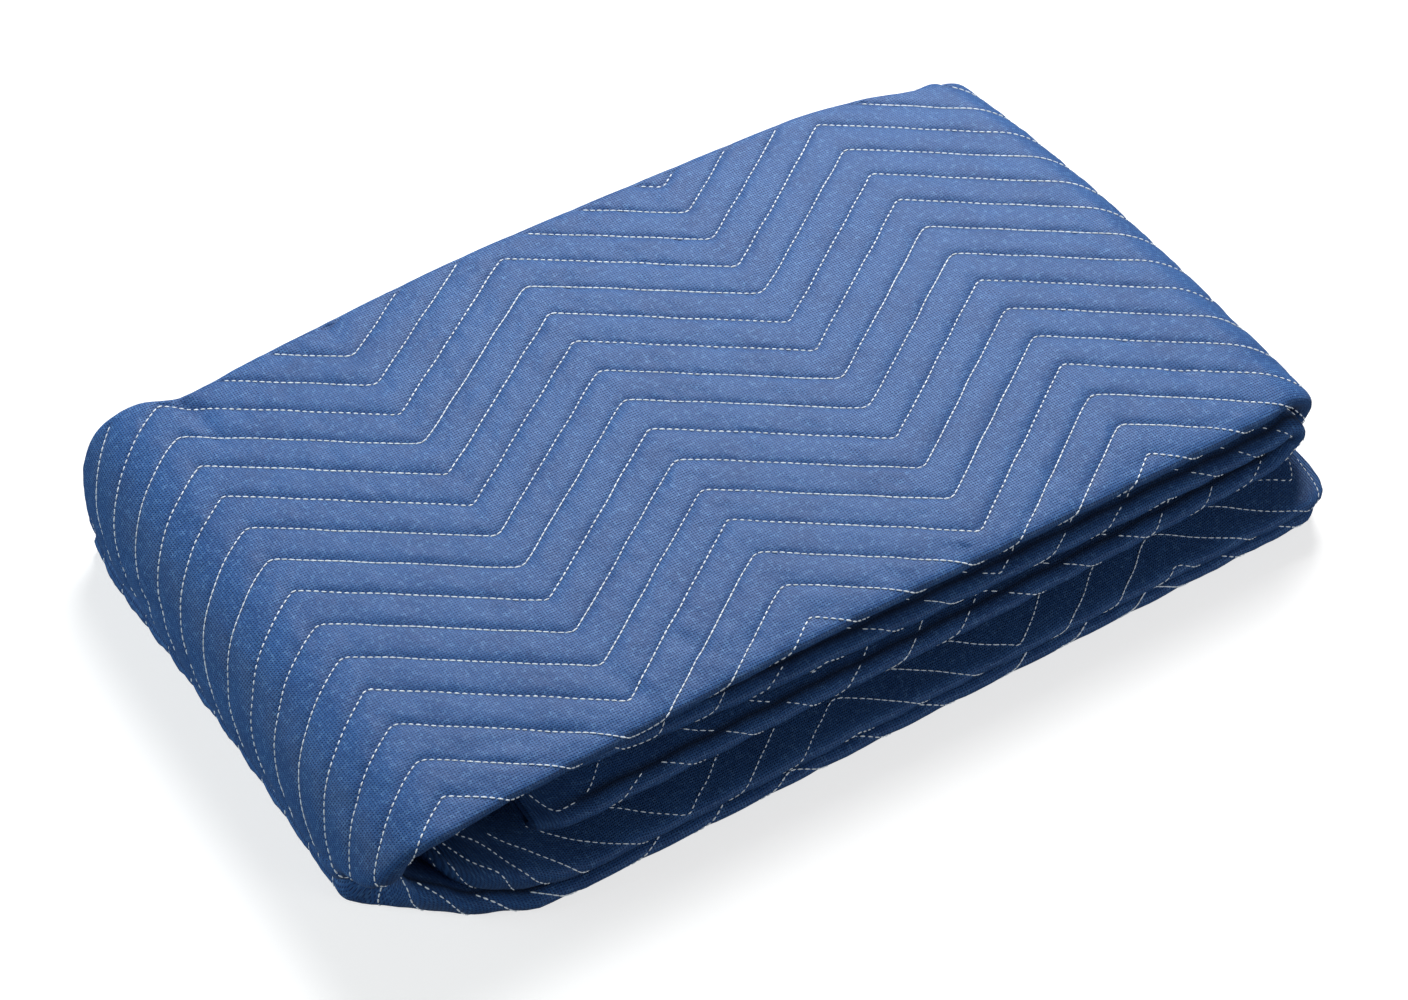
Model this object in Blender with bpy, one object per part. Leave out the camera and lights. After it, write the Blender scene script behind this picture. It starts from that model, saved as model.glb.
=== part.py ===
"""Quilted moving blanket, folded four panels across and three strips along.

The blanket is one sheet. Its section goes back and forth in four panels, and that
section is carried along a run: over the floor, up round the left end, across the top,
back down at the right end, and inwards to a free end between the other two strips.
Zigzag stitch lines pull valleys into the face that shows.

Metres. +X runs along the folded block, -Y is its front with the folds, +Z is up.
The origin is the centre of the footprint on the floor.
"""

import math
from collections import namedtuple

import bmesh
import bpy
from mathutils import Vector

# Sheet
LAYER_THICKNESS = 0.0068
LAYER_PITCH = 0.0084
PANEL_COUNT = 4

# Folded block
BLOCK_LENGTH = 0.718
BLOCK_HEIGHT = 0.101
STRIP_HEIGHT = (PANEL_COUNT - 1) * LAYER_PITCH + LAYER_THICKNESS
HALF_STRIP = STRIP_HEIGHT / 2

# Turns of the run, measured at the outermost face
LOW_CORNER_RADIUS = 0.036
HIGH_CORNER_RADIUS = 0.052
RIGHT_TURN_REACH = 0.3620
MIDDLE_STRIP_CENTRE = BLOCK_HEIGHT / 2
FREE_END_PLACE = -0.240

# Quilting
LINE_SPACING = 0.03175
ZIGZAG_PERIOD = 0.2617
ZIGZAG_AMPLITUDE = 0.0937
ZIGZAG_START = -0.2967
LINE_START = -0.1400
QUILT_DEPTH = 0.0026
QUILT_FADE = 0.012
ROWS_PER_LINE = 3
COLUMNS_PER_PERIOD = 8

# Crown of the stack: how much lower its rim lies than its middle
RIM_DROP_ALONG = 0.02
RIM_DROP_FRONT = 0.04
RIM_DROP_BACK = 0.012
HALF_DEPTH = 0.2220

# The right end is folded askew, and the corner at the back of the left end is rounded
SKEW_AT_BACK = 0.022
SKEW_FROM = -0.110
CORNER_INSET = 0.010
CORNER_DEPTH = 0.090

# Points closer together than this are one
SAME_POINT = 1e-6

# Mesh density
SPANS_PER_PANEL = 4
SPANS_PER_FOLD = 4

LOW_RADIUS = LOW_CORNER_RADIUS - HALF_STRIP
HIGH_RADIUS = HIGH_CORNER_RADIUS - HALF_STRIP
TOP_STRIP_CENTRE = BLOCK_HEIGHT - HALF_STRIP
TURN_RADIUS = (TOP_STRIP_CENTRE - MIDDLE_STRIP_CENTRE) / 2
TURN_CENTRE = RIGHT_TURN_REACH - TURN_RADIUS - HALF_STRIP
LEFT_END = -BLOCK_LENGTH / 2
FLOOR_STRIP_START = 0.358
FREE_END_LENGTH = 0.024
NEAR_END_LENGTH = 0.100
FLOOR_STRIP_LENGTH = (
    FLOOR_STRIP_START - LEFT_END - LOW_CORNER_RADIUS - FREE_END_LENGTH - NEAR_END_LENGTH
)

# The run, a row for each stretch. A straight one has no turn.
Stretch = namedtuple("Stretch", "name length radius degrees spans")
RUN = (
    Stretch("free end", FREE_END_LENGTH, 0.0, 0, 3),
    Stretch("floor strip", FLOOR_STRIP_LENGTH, 0.0, 0, 6),
    Stretch("near end", NEAR_END_LENGTH, 0.0, 0, 5),
    Stretch("low corner", LOW_RADIUS * math.pi / 2, LOW_RADIUS, 90, 9),
    Stretch("end wall", BLOCK_HEIGHT - LOW_CORNER_RADIUS - HIGH_CORNER_RADIUS, 0.0, 0, 1),
    Stretch("high corner", HIGH_RADIUS * math.pi / 2, HIGH_RADIUS, 90, 7),
    Stretch("top strip", TURN_CENTRE - LEFT_END - HIGH_CORNER_RADIUS, 0.0, 0, 0),
    Stretch("right turn", TURN_RADIUS * math.pi, TURN_RADIUS, 180, 10),
    Stretch("middle strip", TURN_CENTRE - FREE_END_PLACE, 0.0, 0, 8),
)

# How far the folds reach from the middle of the block, in metres: to the front for the
# outer and the inner fold, to the back for the back fold and the two hems.
Reach = namedtuple("Reach", "stretch part outer_fold inner_fold back_fold outer_hem inner_hem")
REACHES = (
    Reach("free end", 0.00, 0.205, 0.209, 0.207, 0.209, 0.203),
    Reach("free end", 1.00, 0.219, 0.222, 0.214, 0.216, 0.209),
    Reach("floor strip", 0.50, 0.219, 0.221, 0.217, 0.214, 0.212),
    Reach("near end", 0.00, 0.220, 0.222, 0.216, 0.216, 0.210),
    Reach("near end", 0.45, 0.217, 0.217, 0.213, 0.216, 0.208),
    Reach("near end", 1.00, 0.187, 0.190, 0.205, 0.206, 0.202),
    Reach("low corner", 0.50, 0.147, 0.168, 0.199, 0.201, 0.197),
    Reach("end wall", 0.00, 0.169, 0.149, 0.199, 0.203, 0.196),
    Reach("high corner", 0.50, 0.193, 0.149, 0.203, 0.207, 0.199),
    Reach("top strip", 0.00, 0.199, 0.155, 0.204, 0.203, 0.200),
    Reach("top strip", 0.14, 0.193, 0.183, 0.209, 0.209, 0.205),
    Reach("top strip", 0.45, 0.188, 0.196, 0.216, 0.222, 0.211),
    Reach("top strip", 0.80, 0.188, 0.198, 0.215, 0.216, 0.211),
    Reach("top strip", 0.96, 0.187, 0.198, 0.209, 0.199, 0.205),
    Reach("right turn", 0.20, 0.181, 0.195, 0.209, 0.203, 0.205),
    Reach("right turn", 0.60, 0.175, 0.195, 0.209, 0.205, 0.205),
    Reach("middle strip", 0.05, 0.173, 0.203, 0.211, 0.207, 0.209),
    Reach("middle strip", 0.50, 0.175, 0.209, 0.211, 0.211, 0.209),
    Reach("middle strip", 0.95, 0.179, 0.207, 0.209, 0.211, 0.207),
    Reach("middle strip", 1.00, 0.171, 0.199, 0.207, 0.209, 0.205),
)

END_WALL_BULGE = 0.0030

# The outer layer stands away from the others where the left end buckles at the floor,
# a row for each angle of the low corner, counted from the floor.
Buckle = namedtuple("Buckle", "degrees stand_off")
BUCKLES = (
    Buckle(0, 0.0),
    Buckle(15, 0.0012),
    Buckle(25, 0.0036),
    Buckle(36, 0.0074),
    Buckle(46, 0.0092),
    Buckle(56, 0.0068),
    Buckle(64, 0.0004),
    Buckle(74, 0.0026),
    Buckle(90, END_WALL_BULGE),
)
CREASE_ANGLE = 64
CREASE_HALF_WIDTH = 9
CREASE_DEPTH = 0.0030

FABRIC_BLUE = (0.045, 0.120, 0.330, 1.0)
FABRIC_ROUGHNESS = 0.88

Column = namedtuple("Column", "place point normal stand_off crease quilted")


def smooth_step(value):
    """Goes softly from 0 to 1 as value does."""
    value = min(max(value, 0.0), 1.0)
    return value * value * (3 - 2 * value)


def between_rows(places, values, place):
    """Value at a place, eased from row to row."""
    if place <= places[0]:
        return values[0]
    for start, end, first, last in zip(places, places[1:], values, values[1:]):
        if place <= end:
            return first + (last - first) * smooth_step((place - start) / (end - start))
    return values[-1]


def stretch_starts():
    """Distance along the run at which each stretch starts."""
    starts = {}
    place = 0.0
    for stretch in RUN:
        starts[stretch.name] = place
        place += stretch.length
    return starts


STARTS = stretch_starts()
LENGTHS = {stretch.name: stretch.length for stretch in RUN}
BUCKLE_ANGLES = [row.degrees for row in BUCKLES]
BUCKLE_STAND_OFFS = [row.stand_off for row in BUCKLES]
REACH_PLACES = [STARTS[row.stretch] + row.part * LENGTHS[row.stretch] for row in REACHES]


def reach_at(name, place):
    """Reach of one fold or hem at a distance along the run."""
    return between_rows(REACH_PLACES, [getattr(row, name) for row in REACHES], place)


def run_frame(place):
    """Middle of the strip at a distance along the run, its outward normal and its turning."""
    point = Vector((FLOOR_STRIP_START, HALF_STRIP))
    heading = math.pi
    for stretch in RUN:
        along = min(place - STARTS[stretch.name], stretch.length)
        if stretch.radius:
            normal = Vector((-math.sin(heading), math.cos(heading)))
            centre = point - stretch.radius * normal
            heading -= along / stretch.radius
            normal = Vector((-math.sin(heading), math.cos(heading)))
            point = centre + stretch.radius * normal
        else:
            point = point + along * Vector((math.cos(heading), math.sin(heading)))
        if place <= STARTS[stretch.name] + stretch.length + SAME_POINT:
            break
    normal = Vector((-math.sin(heading), math.cos(heading)))
    return point, normal, math.pi - heading


def stand_off(place):
    """How far the outer layer stands away from the others."""
    start = STARTS["low corner"]
    degrees = math.degrees((place - start) / LOW_RADIUS)
    if degrees <= 0:
        return 0.0
    if degrees <= 90:
        return between_rows(BUCKLE_ANGLES, BUCKLE_STAND_OFFS, degrees)
    fade = (place - STARTS["end wall"]) / (LENGTHS["end wall"] + LENGTHS["high corner"])
    return END_WALL_BULGE * (1 - smooth_step(fade))


def crease(place):
    """Dent of the outer face along the crease of the left end."""
    degrees = math.degrees((place - STARTS["low corner"]) / LOW_RADIUS)
    return CREASE_DEPTH * (1 - smooth_step(abs(degrees - CREASE_ANGLE) / CREASE_HALF_WIDTH))


def cloth_place(place):
    """Distance along the zigzag lines on the outermost face, which takes the long way round."""
    _, _, turning = run_frame(place)
    _, _, turning_at_top = run_frame(STARTS["top strip"])
    along = place - STARTS["top strip"] + HALF_STRIP * (turning - turning_at_top)
    return LEFT_END + HIGH_CORNER_RADIUS + along - ZIGZAG_START


def zigzag(along):
    """Sideways swing of the stitch lines, from 0 to the amplitude and back each period."""
    phase = (along / ZIGZAG_PERIOD) % 1.0
    return ZIGZAG_AMPLITUDE * (1 - abs(2 * phase - 1))


def columns_of_run():
    """Places along the run at which the section is set, closer together on the turns."""
    columns = []
    last_name = RUN[-1].name
    for stretch in RUN:
        start = STARTS[stretch.name]
        quilted = stretch.name in ("low corner", "end wall", "high corner", "top strip")
        if stretch.name == "top strip":
            step = ZIGZAG_PERIOD / COLUMNS_PER_PERIOD
            first = cloth_place(start)
            skip = (math.floor(first / step) + 1) * step - first
            count = int((stretch.length - skip) / step)
            parts = [0.0] + [(skip + i * step) / stretch.length for i in range(count + 1)]
        else:
            parts = [i / stretch.spans for i in range(stretch.spans)]
        if stretch.name == last_name:
            parts.append(1.0)
        for part in parts:
            place = start + part * stretch.length
            point, normal, _ = run_frame(place)
            shows = quilted or (stretch.name == "right turn" and part <= 0.5)
            columns.append(Column(place, point, normal, stand_off(place), crease(place), shows))
    return columns


def deformed(x, y, z):
    """Lowers the rim of the stack a little, skews its right end and rounds its back left corner."""
    along = abs(2 * x / BLOCK_LENGTH)
    across = abs(y / HALF_DEPTH)
    rim_drop = RIM_DROP_FRONT if y < 0 else RIM_DROP_BACK
    height = z * (1 - RIM_DROP_ALONG * along**4 - rim_drop * across**4)
    if x > 0:
        x -= SKEW_AT_BACK * along**3 * max(0.0, (y - SKEW_FROM) / (HALF_DEPTH - SKEW_FROM)) ** 2
    else:
        near_back = max(0.0, (y - HALF_DEPTH + CORNER_DEPTH) / CORNER_DEPTH)
        x += CORNER_INSET * along**8 * near_back**2
    return Vector((x, y, height))


def placed(column, reach, height, relief=0.0):
    """Point of the blanket: reach towards the front, height outwards from the strip's middle."""
    gap_start = HALF_STRIP - LAYER_PITCH
    on_outer_layer = smooth_step((height - gap_start) / (LAYER_PITCH - LAYER_THICKNESS))
    height += column.stand_off * on_outer_layer + relief
    x, z = column.point + height * column.normal
    return deformed(x, -reach, max(z, 0.0))


def fold_points(column, centre_reach, centre_height, radius, towards):
    """Half circle of a fold, without its ends, from one panel out to the next."""
    points = []
    for i in range(1, SPANS_PER_FOLD):
        angle = math.pi * i / SPANS_PER_FOLD
        reach = centre_reach + towards * radius * math.sin(angle)
        points.append(placed(column, reach, centre_height - radius * math.cos(angle)))
    return points


def panel_points(column, start_reach, end_reach, height):
    """Points across one panel, with both ends."""
    points = []
    for i in range(SPANS_PER_PANEL + 1):
        reach = start_reach + (end_reach - start_reach) * i / SPANS_PER_PANEL
        points.append(placed(column, reach, height))
    return points


def section(column, side):
    """One face of the folded section, from the inner hem to the outer hem.

    side is 1 for the face that shows on the outermost panel, and -1 for the other.
    """
    half = LAYER_THICKNESS / 2
    fold_radius = LAYER_PITCH / 2
    outside = fold_radius + half
    panels = [(i - (PANEL_COUNT - 1) / 2) * LAYER_PITCH for i in range(PANEL_COUNT)]
    inner_front = reach_at("inner_fold", column.place) - outside
    outer_front = reach_at("outer_fold", column.place) - outside
    back = outside - reach_at("back_fold", column.place)
    inner_hem = -reach_at("inner_hem", column.place)
    outer_hem = -reach_at("outer_hem", column.place)
    front_radius = fold_radius + side * half
    back_radius = fold_radius - side * half
    points = panel_points(column, inner_hem, inner_front, panels[0] - side * half)
    points += fold_points(column, inner_front, panels[0] + fold_radius, front_radius, 1)
    points += panel_points(column, inner_front, back, panels[1] + side * half)
    points += fold_points(column, back, panels[1] + fold_radius, back_radius, -1)
    points += panel_points(column, back, outer_front, panels[2] - side * half)
    points += fold_points(column, outer_front, panels[2] + fold_radius, front_radius, 1)
    points += panel_points(column, outer_front, outer_hem, panels[3] + side * half)
    return points


def quilt_rows(column):
    """Points across the outermost face, in rows that keep to the stitch lines."""
    front = reach_at("outer_fold", column.place) - LAYER_PITCH / 2 - LAYER_THICKNESS / 2
    hem = -reach_at("outer_hem", column.place)
    swing = zigzag(cloth_place(column.place))
    step = LINE_SPACING / ROWS_PER_LINE
    first = math.ceil((HALF_DEPTH - LINE_START) / step)
    last = math.floor((-HALF_DEPTH - LINE_START - ZIGZAG_AMPLITUDE) / step)
    points = [placed(column, front, HALF_STRIP)]
    for row in range(first, last - 1, -1):
        reach = min(max(LINE_START + row * step + swing, hem), front)
        fade = smooth_step((front - reach) / QUILT_FADE) * smooth_step((reach - hem) / QUILT_FADE)
        depth = max(QUILT_DEPTH, column.crease) if row % ROWS_PER_LINE == 0 else column.crease
        points.append(placed(column, reach, HALF_STRIP, -depth * fade))
    points.append(placed(column, hem, HALF_STRIP))
    return points


class SheetMesh:
    """Gathers the sheet's points, joining those that fall together."""

    def __init__(self):
        self.mesh = bmesh.new()
        self.points = {}

    def vertex(self, point):
        """The vertex at a point, made once."""
        key = tuple(round(value, 7) for value in point)
        if key not in self.points:
            self.points[key] = self.mesh.verts.new(point)
        return self.points[key]

    def face(self, points):
        """A face on points, leaving out any that falls on the one before it."""
        corners = []
        for point in points:
            corner = self.vertex(point)
            if corner not in corners:
                corners.append(corner)
        if len(corners) > 2:
            self.mesh.faces.new(corners)

    def strip(self, first, second):
        """Faces between two rows of as many points."""
        for i in range(len(first) - 1):
            self.face((first[i], first[i + 1], second[i + 1], second[i]))

    def zip_rows(self, first, second):
        """Triangles between two rows with different numbers of points."""
        i, j = 0, 0
        while i < len(first) - 1 or j < len(second) - 1:
            step_first = (i + 1) / (len(first) - 1)
            step_second = (j + 1) / (len(second) - 1)
            if j == len(second) - 1 or (i < len(first) - 1 and step_first <= step_second):
                self.face((first[i], first[i + 1], second[j]))
                i += 1
            else:
                self.face((first[i], second[j + 1], second[j]))
                j += 1


def distinct(points):
    """Points without those that repeat the one before."""
    kept = [points[0]]
    for point in points[1:]:
        if (point - kept[-1]).length > SAME_POINT:
            kept.append(point)
    return kept


def build_blanket(name, collection):
    """The whole folded sheet as one closed mesh object."""
    sheet = SheetMesh()
    columns = columns_of_run()
    inner_faces = [section(column, -1) for column in columns]
    outer_faces = [section(column, 1) for column in columns]
    panel_start = len(outer_faces[0]) - SPANS_PER_PANEL - 1
    for i in range(len(columns) - 1):
        sheet.strip(inner_faces[i], inner_faces[i + 1])
        sheet.strip(outer_faces[i][: panel_start + 1], outer_faces[i + 1][: panel_start + 1])
        near, far = columns[i], columns[i + 1]
        if near.quilted and far.quilted:
            sheet.strip(quilt_rows(near), quilt_rows(far))
        elif far.quilted:
            sheet.zip_rows(outer_faces[i][panel_start:], distinct(quilt_rows(far)))
        elif near.quilted:
            sheet.zip_rows(distinct(quilt_rows(near)), outer_faces[i + 1][panel_start:])
        else:
            sheet.strip(outer_faces[i][panel_start:], outer_faces[i + 1][panel_start:])
        for hem in (0, -1):
            outer_edge = (outer_faces[i][hem], outer_faces[i + 1][hem])
            sheet.face((*outer_edge, inner_faces[i + 1][hem], inner_faces[i][hem]))
    for end in (0, -1):
        sheet.strip(outer_faces[end], inner_faces[end])
    bmesh.ops.recalc_face_normals(sheet.mesh, faces=sheet.mesh.faces)
    data = bpy.data.meshes.new(name)
    sheet.mesh.to_mesh(data)
    sheet.mesh.free()
    data.shade_smooth()
    data.materials.append(fabric_material("moving_blanket_fabric"))
    blanket = bpy.data.objects.new(name, data)
    collection.objects.link(blanket)
    return blanket


def fabric_material(name):
    """Mid blue quilted cloth."""
    material = bpy.data.materials.new(name)
    material.use_nodes = True
    shader = material.node_tree.nodes["Principled BSDF"]
    shader.inputs["Base Color"].default_value = FABRIC_BLUE
    shader.inputs["Roughness"].default_value = FABRIC_ROUGHNESS
    shader.inputs["Metallic"].default_value = 0.0
    return material


def main():
    """Clears the scene and builds the blanket in a collection of its own."""
    for old in list(bpy.data.objects):
        bpy.data.objects.remove(old, do_unlink=True)
    collection = bpy.data.collections.new("moving_blanket")
    bpy.context.scene.collection.children.link(collection)
    build_blanket("blanket", collection)


main()
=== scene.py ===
"""Quilted moving blanket, folded into a flat block, with its stitching, floor, light and camera.

Metres. +X runs along the folded block, -Y is its front with the folds, +Z is up. The cloth is
one sheet: four panels folded back and forth, and that section is carried along a run over the
floor, up round the left end, across the top, down round the right end and back inwards.
"""

import logging
import math
from dataclasses import dataclass, field
from enum import Enum

import bpy
import numpy as np
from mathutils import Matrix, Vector


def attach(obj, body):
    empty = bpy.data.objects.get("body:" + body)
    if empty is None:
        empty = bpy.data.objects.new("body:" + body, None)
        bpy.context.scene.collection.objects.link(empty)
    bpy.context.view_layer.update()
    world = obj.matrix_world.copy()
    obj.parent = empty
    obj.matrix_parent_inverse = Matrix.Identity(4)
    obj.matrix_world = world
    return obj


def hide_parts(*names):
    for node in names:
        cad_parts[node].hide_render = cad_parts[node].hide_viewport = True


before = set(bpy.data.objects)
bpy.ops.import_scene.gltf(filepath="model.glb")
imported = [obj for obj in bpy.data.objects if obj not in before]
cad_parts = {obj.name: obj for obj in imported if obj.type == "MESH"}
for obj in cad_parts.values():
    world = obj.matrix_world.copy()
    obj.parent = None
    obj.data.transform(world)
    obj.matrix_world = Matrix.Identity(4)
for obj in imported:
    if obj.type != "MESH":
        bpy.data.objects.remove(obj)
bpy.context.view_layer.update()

Array = np.ndarray
LOG = logging.getLogger("moving_blanket")


class Face(Enum):
    """The two faces of the quilted sheet."""

    SHOWN = 1
    UNDER = -1


class StitchKind(Enum):
    """How the thread of a quilting line lies: apart with gaps, or nearly end to end."""

    SPACED = "spaced"
    CLOSE = "close"


def smooth_step(value: Array) -> Array:
    """Goes softly from 0 to 1 as value does.

    Args:
        value: Any numbers.

    Returns:
        The eased numbers, from 0 to 1.
    """
    value = np.clip(value, 0.0, 1.0)
    return value * value * (3 - 2 * value)


def eased_between(place: Array, places: Array, values: Array) -> Array:
    """Reads a table at some places along a smooth curve that never overshoots its rows.

    Args:
        place: Where to read.
        places: The table's places, rising.
        values: The table's value at each place.

    Returns:
        The value at each place asked for.
    """
    step = np.diff(places)
    rise = np.diff(values) / step
    slope = np.zeros(len(values))
    same = rise[:-1] * rise[1:] > 0
    slope[1:-1][same] = 2 / (1 / rise[:-1][same] + 1 / rise[1:][same])
    row = np.clip(np.searchsorted(places, place, side="right") - 1, 0, len(places) - 2)
    part = np.clip((place - places[row]) / step[row], 0.0, 1.0)
    eased = smooth_step(part)
    bend = step[row] * part * (1 - part)
    return (
        values[row] * (1 - eased) + values[row + 1] * eased
        + bend * (slope[row] * (1 - part) - slope[row + 1] * part)
    )


@dataclass(frozen=True)
class Stretch:
    """One straight or round stretch of the run; a straight one has no radius."""

    name: str
    length: float
    radius: float = 0.0


@dataclass(frozen=True)
class ClothSizes:
    """Sizes of the folded cloth, the same as its CAD solid's."""

    thickness: float = 0.0068
    pitch: float = 0.0084
    nose_stretch: float = 1.5
    nose_upper: float = 0.74
    nose_lower: float = 1.25
    nose_rise: float = 0.52
    block_length: float = 0.718
    block_height: float = 0.101
    low_corner_radius: float = 0.036
    high_corner_radius: float = 0.052
    right_turn_reach: float = 0.3655
    floor_strip_start: float = 0.358
    free_end_place: float = -0.250
    free_end_length: float = 0.024
    near_end_length: float = 0.100
    half_depth: float = 0.2220

    @property
    def half_strip(self) -> float:
        """Half the height of a strip of four panels."""
        return (3 * self.pitch + self.thickness) / 2

    @property
    def left_end(self) -> float:
        """X of the left end."""
        return -self.block_length / 2


class Run:
    """The line along which the folded section is carried, seen from the front."""

    def __init__(self, sizes: ClothSizes) -> None:
        """Lays out the stretches.

        Args:
            sizes: The folded cloth's sizes.
        """
        half = sizes.half_strip
        low = sizes.low_corner_radius - half
        high = sizes.high_corner_radius - half
        top_middle = sizes.block_height - half
        turn = (top_middle - sizes.block_height / 2) / 2
        turn_centre = sizes.right_turn_reach - turn - half
        floor_length = (
            sizes.floor_strip_start - sizes.left_end - sizes.low_corner_radius
            - sizes.free_end_length - sizes.near_end_length
        )
        wall = sizes.block_height - sizes.low_corner_radius - sizes.high_corner_radius
        self.half = half
        self.stretches = (
            Stretch("free end", sizes.free_end_length),
            Stretch("floor strip", floor_length),
            Stretch("near end", sizes.near_end_length),
            Stretch("low corner", low * math.pi / 2, low),
            Stretch("end wall", wall),
            Stretch("high corner", high * math.pi / 2, high),
            Stretch("top strip", turn_centre - sizes.left_end - sizes.high_corner_radius),
            Stretch("right turn", turn * math.pi, turn),
            Stretch("middle strip", turn_centre - sizes.free_end_place),
        )
        self.low_radius = low
        self.length = {s.name: s.length for s in self.stretches}
        self.start = {}
        place = 0.0
        for stretch in self.stretches:
            self.start[stretch.name] = place
            place += stretch.length
        self.end = place
        self.first_point = (sizes.floor_strip_start, half)

    def place_of(self, name: str, part: float) -> float:
        """Distance along the run of a part of a stretch, from 0 at its start to 1."""
        return self.start[name] + part * self.length[name]

    def frame_at(self, place: Array) -> tuple[Array, Array, Array]:
        """Middle of the strip, outward normal and turning at distances along the run.

        Args:
            place: Distances along the run.

        Returns:
            Points and normals as rows of x and z, and how far the run has turned, in radians.
        """
        points = np.zeros((len(place), 2))
        headings = np.full(len(place), math.pi)
        point = np.array(self.first_point)
        heading = math.pi
        for stretch in self.stretches:
            start = self.start[stretch.name]
            here = place >= start - 1e-9
            along = np.clip(place[here] - start, 0.0, stretch.length)
            if stretch.radius:
                normal = np.array((-math.sin(heading), math.cos(heading)))
                centre = point - stretch.radius * normal
                turned = heading - along / stretch.radius
                round_normal = np.stack((-np.sin(turned), np.cos(turned)), axis=1)
                points[here] = centre + stretch.radius * round_normal
                headings[here] = turned
                heading -= stretch.length / stretch.radius
                normal = np.array((-math.sin(heading), math.cos(heading)))
                point = centre + stretch.radius * normal
            else:
                ahead = np.array((math.cos(heading), math.sin(heading)))
                points[here] = point + along[:, None] * ahead
                headings[here] = heading
                point = point + stretch.length * ahead
        normals = np.stack((-np.sin(headings), np.cos(headings)), axis=1)
        return points, normals, math.pi - headings


@dataclass(frozen=True)
class Reach:
    """How far the folds and hems reach from the block's middle at one part of a stretch.

    The outer and the inner fold reach to the front, the back fold and the two hems to the back.
    An opening is how much wider than usual a front fold gapes there.
    """

    stretch: str
    part: float
    outer_fold: float
    inner_fold: float
    back_fold: float
    outer_hem: float
    inner_hem: float
    outer_opening: float = 0.0
    inner_opening: float = 0.0


REACHES = (
    Reach("free end", 0.00, 0.191, 0.197, 0.200, 0.205, 0.200),
    Reach("free end", 0.18, 0.206, 0.211, 0.209, 0.212, 0.206),
    Reach("free end", 0.50, 0.215, 0.220, 0.213, 0.215, 0.208),
    Reach("free end", 1.00, 0.221, 0.224, 0.214, 0.216, 0.209),
    Reach("floor strip", 0.50, 0.223, 0.224, 0.217, 0.214, 0.212),
    Reach("near end", 0.00, 0.224, 0.225, 0.216, 0.216, 0.210, 0.0, 0.001),
    Reach("near end", 0.35, 0.222, 0.219, 0.213, 0.216, 0.208, 0.001, 0.008),
    Reach("near end", 0.60, 0.211, 0.206, 0.213, 0.216, 0.208, 0.003, 0.012),
    Reach("near end", 0.74, 0.205, 0.190, 0.211, 0.212, 0.206, 0.006, 0.009),
    Reach("near end", 0.84, 0.197, 0.160, 0.209, 0.210, 0.206, 0.010, 0.003),
    Reach("near end", 1.00, 0.184, 0.146, 0.205, 0.206, 0.202, 0.014, 0.0),
    Reach("low corner", 0.50, 0.160, 0.142, 0.199, 0.201, 0.197, 0.012, 0.0),
    Reach("low corner", 0.76, 0.152, 0.142, 0.199, 0.201, 0.197, 0.006, 0.0),
    Reach("end wall", 0.00, 0.158, 0.142, 0.199, 0.203, 0.196, 0.004, 0.0),
    Reach("end wall", 0.50, 0.159, 0.144, 0.200, 0.204, 0.197, 0.002, 0.0),
    Reach("end wall", 1.00, 0.167, 0.146, 0.201, 0.206, 0.198, 0.004, 0.0),
    Reach("high corner", 0.10, 0.184, 0.147, 0.201, 0.208, 0.198, 0.007, 0.0),
    Reach("high corner", 0.26, 0.195, 0.148, 0.202, 0.212, 0.198, 0.008, 0.0),
    Reach("high corner", 0.55, 0.199, 0.149, 0.203, 0.216, 0.199, 0.004, 0.0),
    Reach("top strip", 0.00, 0.203, 0.158, 0.204, 0.213, 0.200),
    Reach("top strip", 0.045, 0.200, 0.165, 0.206, 0.203, 0.202),
    Reach("top strip", 0.14, 0.198, 0.187, 0.209, 0.209, 0.205),
    Reach("top strip", 0.45, 0.193, 0.200, 0.216, 0.221, 0.211),
    Reach("top strip", 0.80, 0.193, 0.202, 0.215, 0.219, 0.211),
    Reach("top strip", 0.90, 0.193, 0.202, 0.212, 0.211, 0.208),
    Reach("top strip", 0.96, 0.192, 0.202, 0.209, 0.200, 0.205),
    Reach("right turn", 0.20, 0.187, 0.198, 0.209, 0.193, 0.205),
    Reach("right turn", 0.60, 0.181, 0.198, 0.209, 0.205, 0.205),
    Reach("middle strip", 0.05, 0.176, 0.206, 0.211, 0.207, 0.209),
    Reach("middle strip", 0.50, 0.178, 0.212, 0.211, 0.211, 0.209),
    Reach("middle strip", 0.92, 0.182, 0.212, 0.209, 0.211, 0.207),
    Reach("middle strip", 0.97, 0.177, 0.210, 0.209, 0.211, 0.207),
    Reach("middle strip", 1.00, 0.163, 0.203, 0.207, 0.209, 0.205),
)


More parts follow.
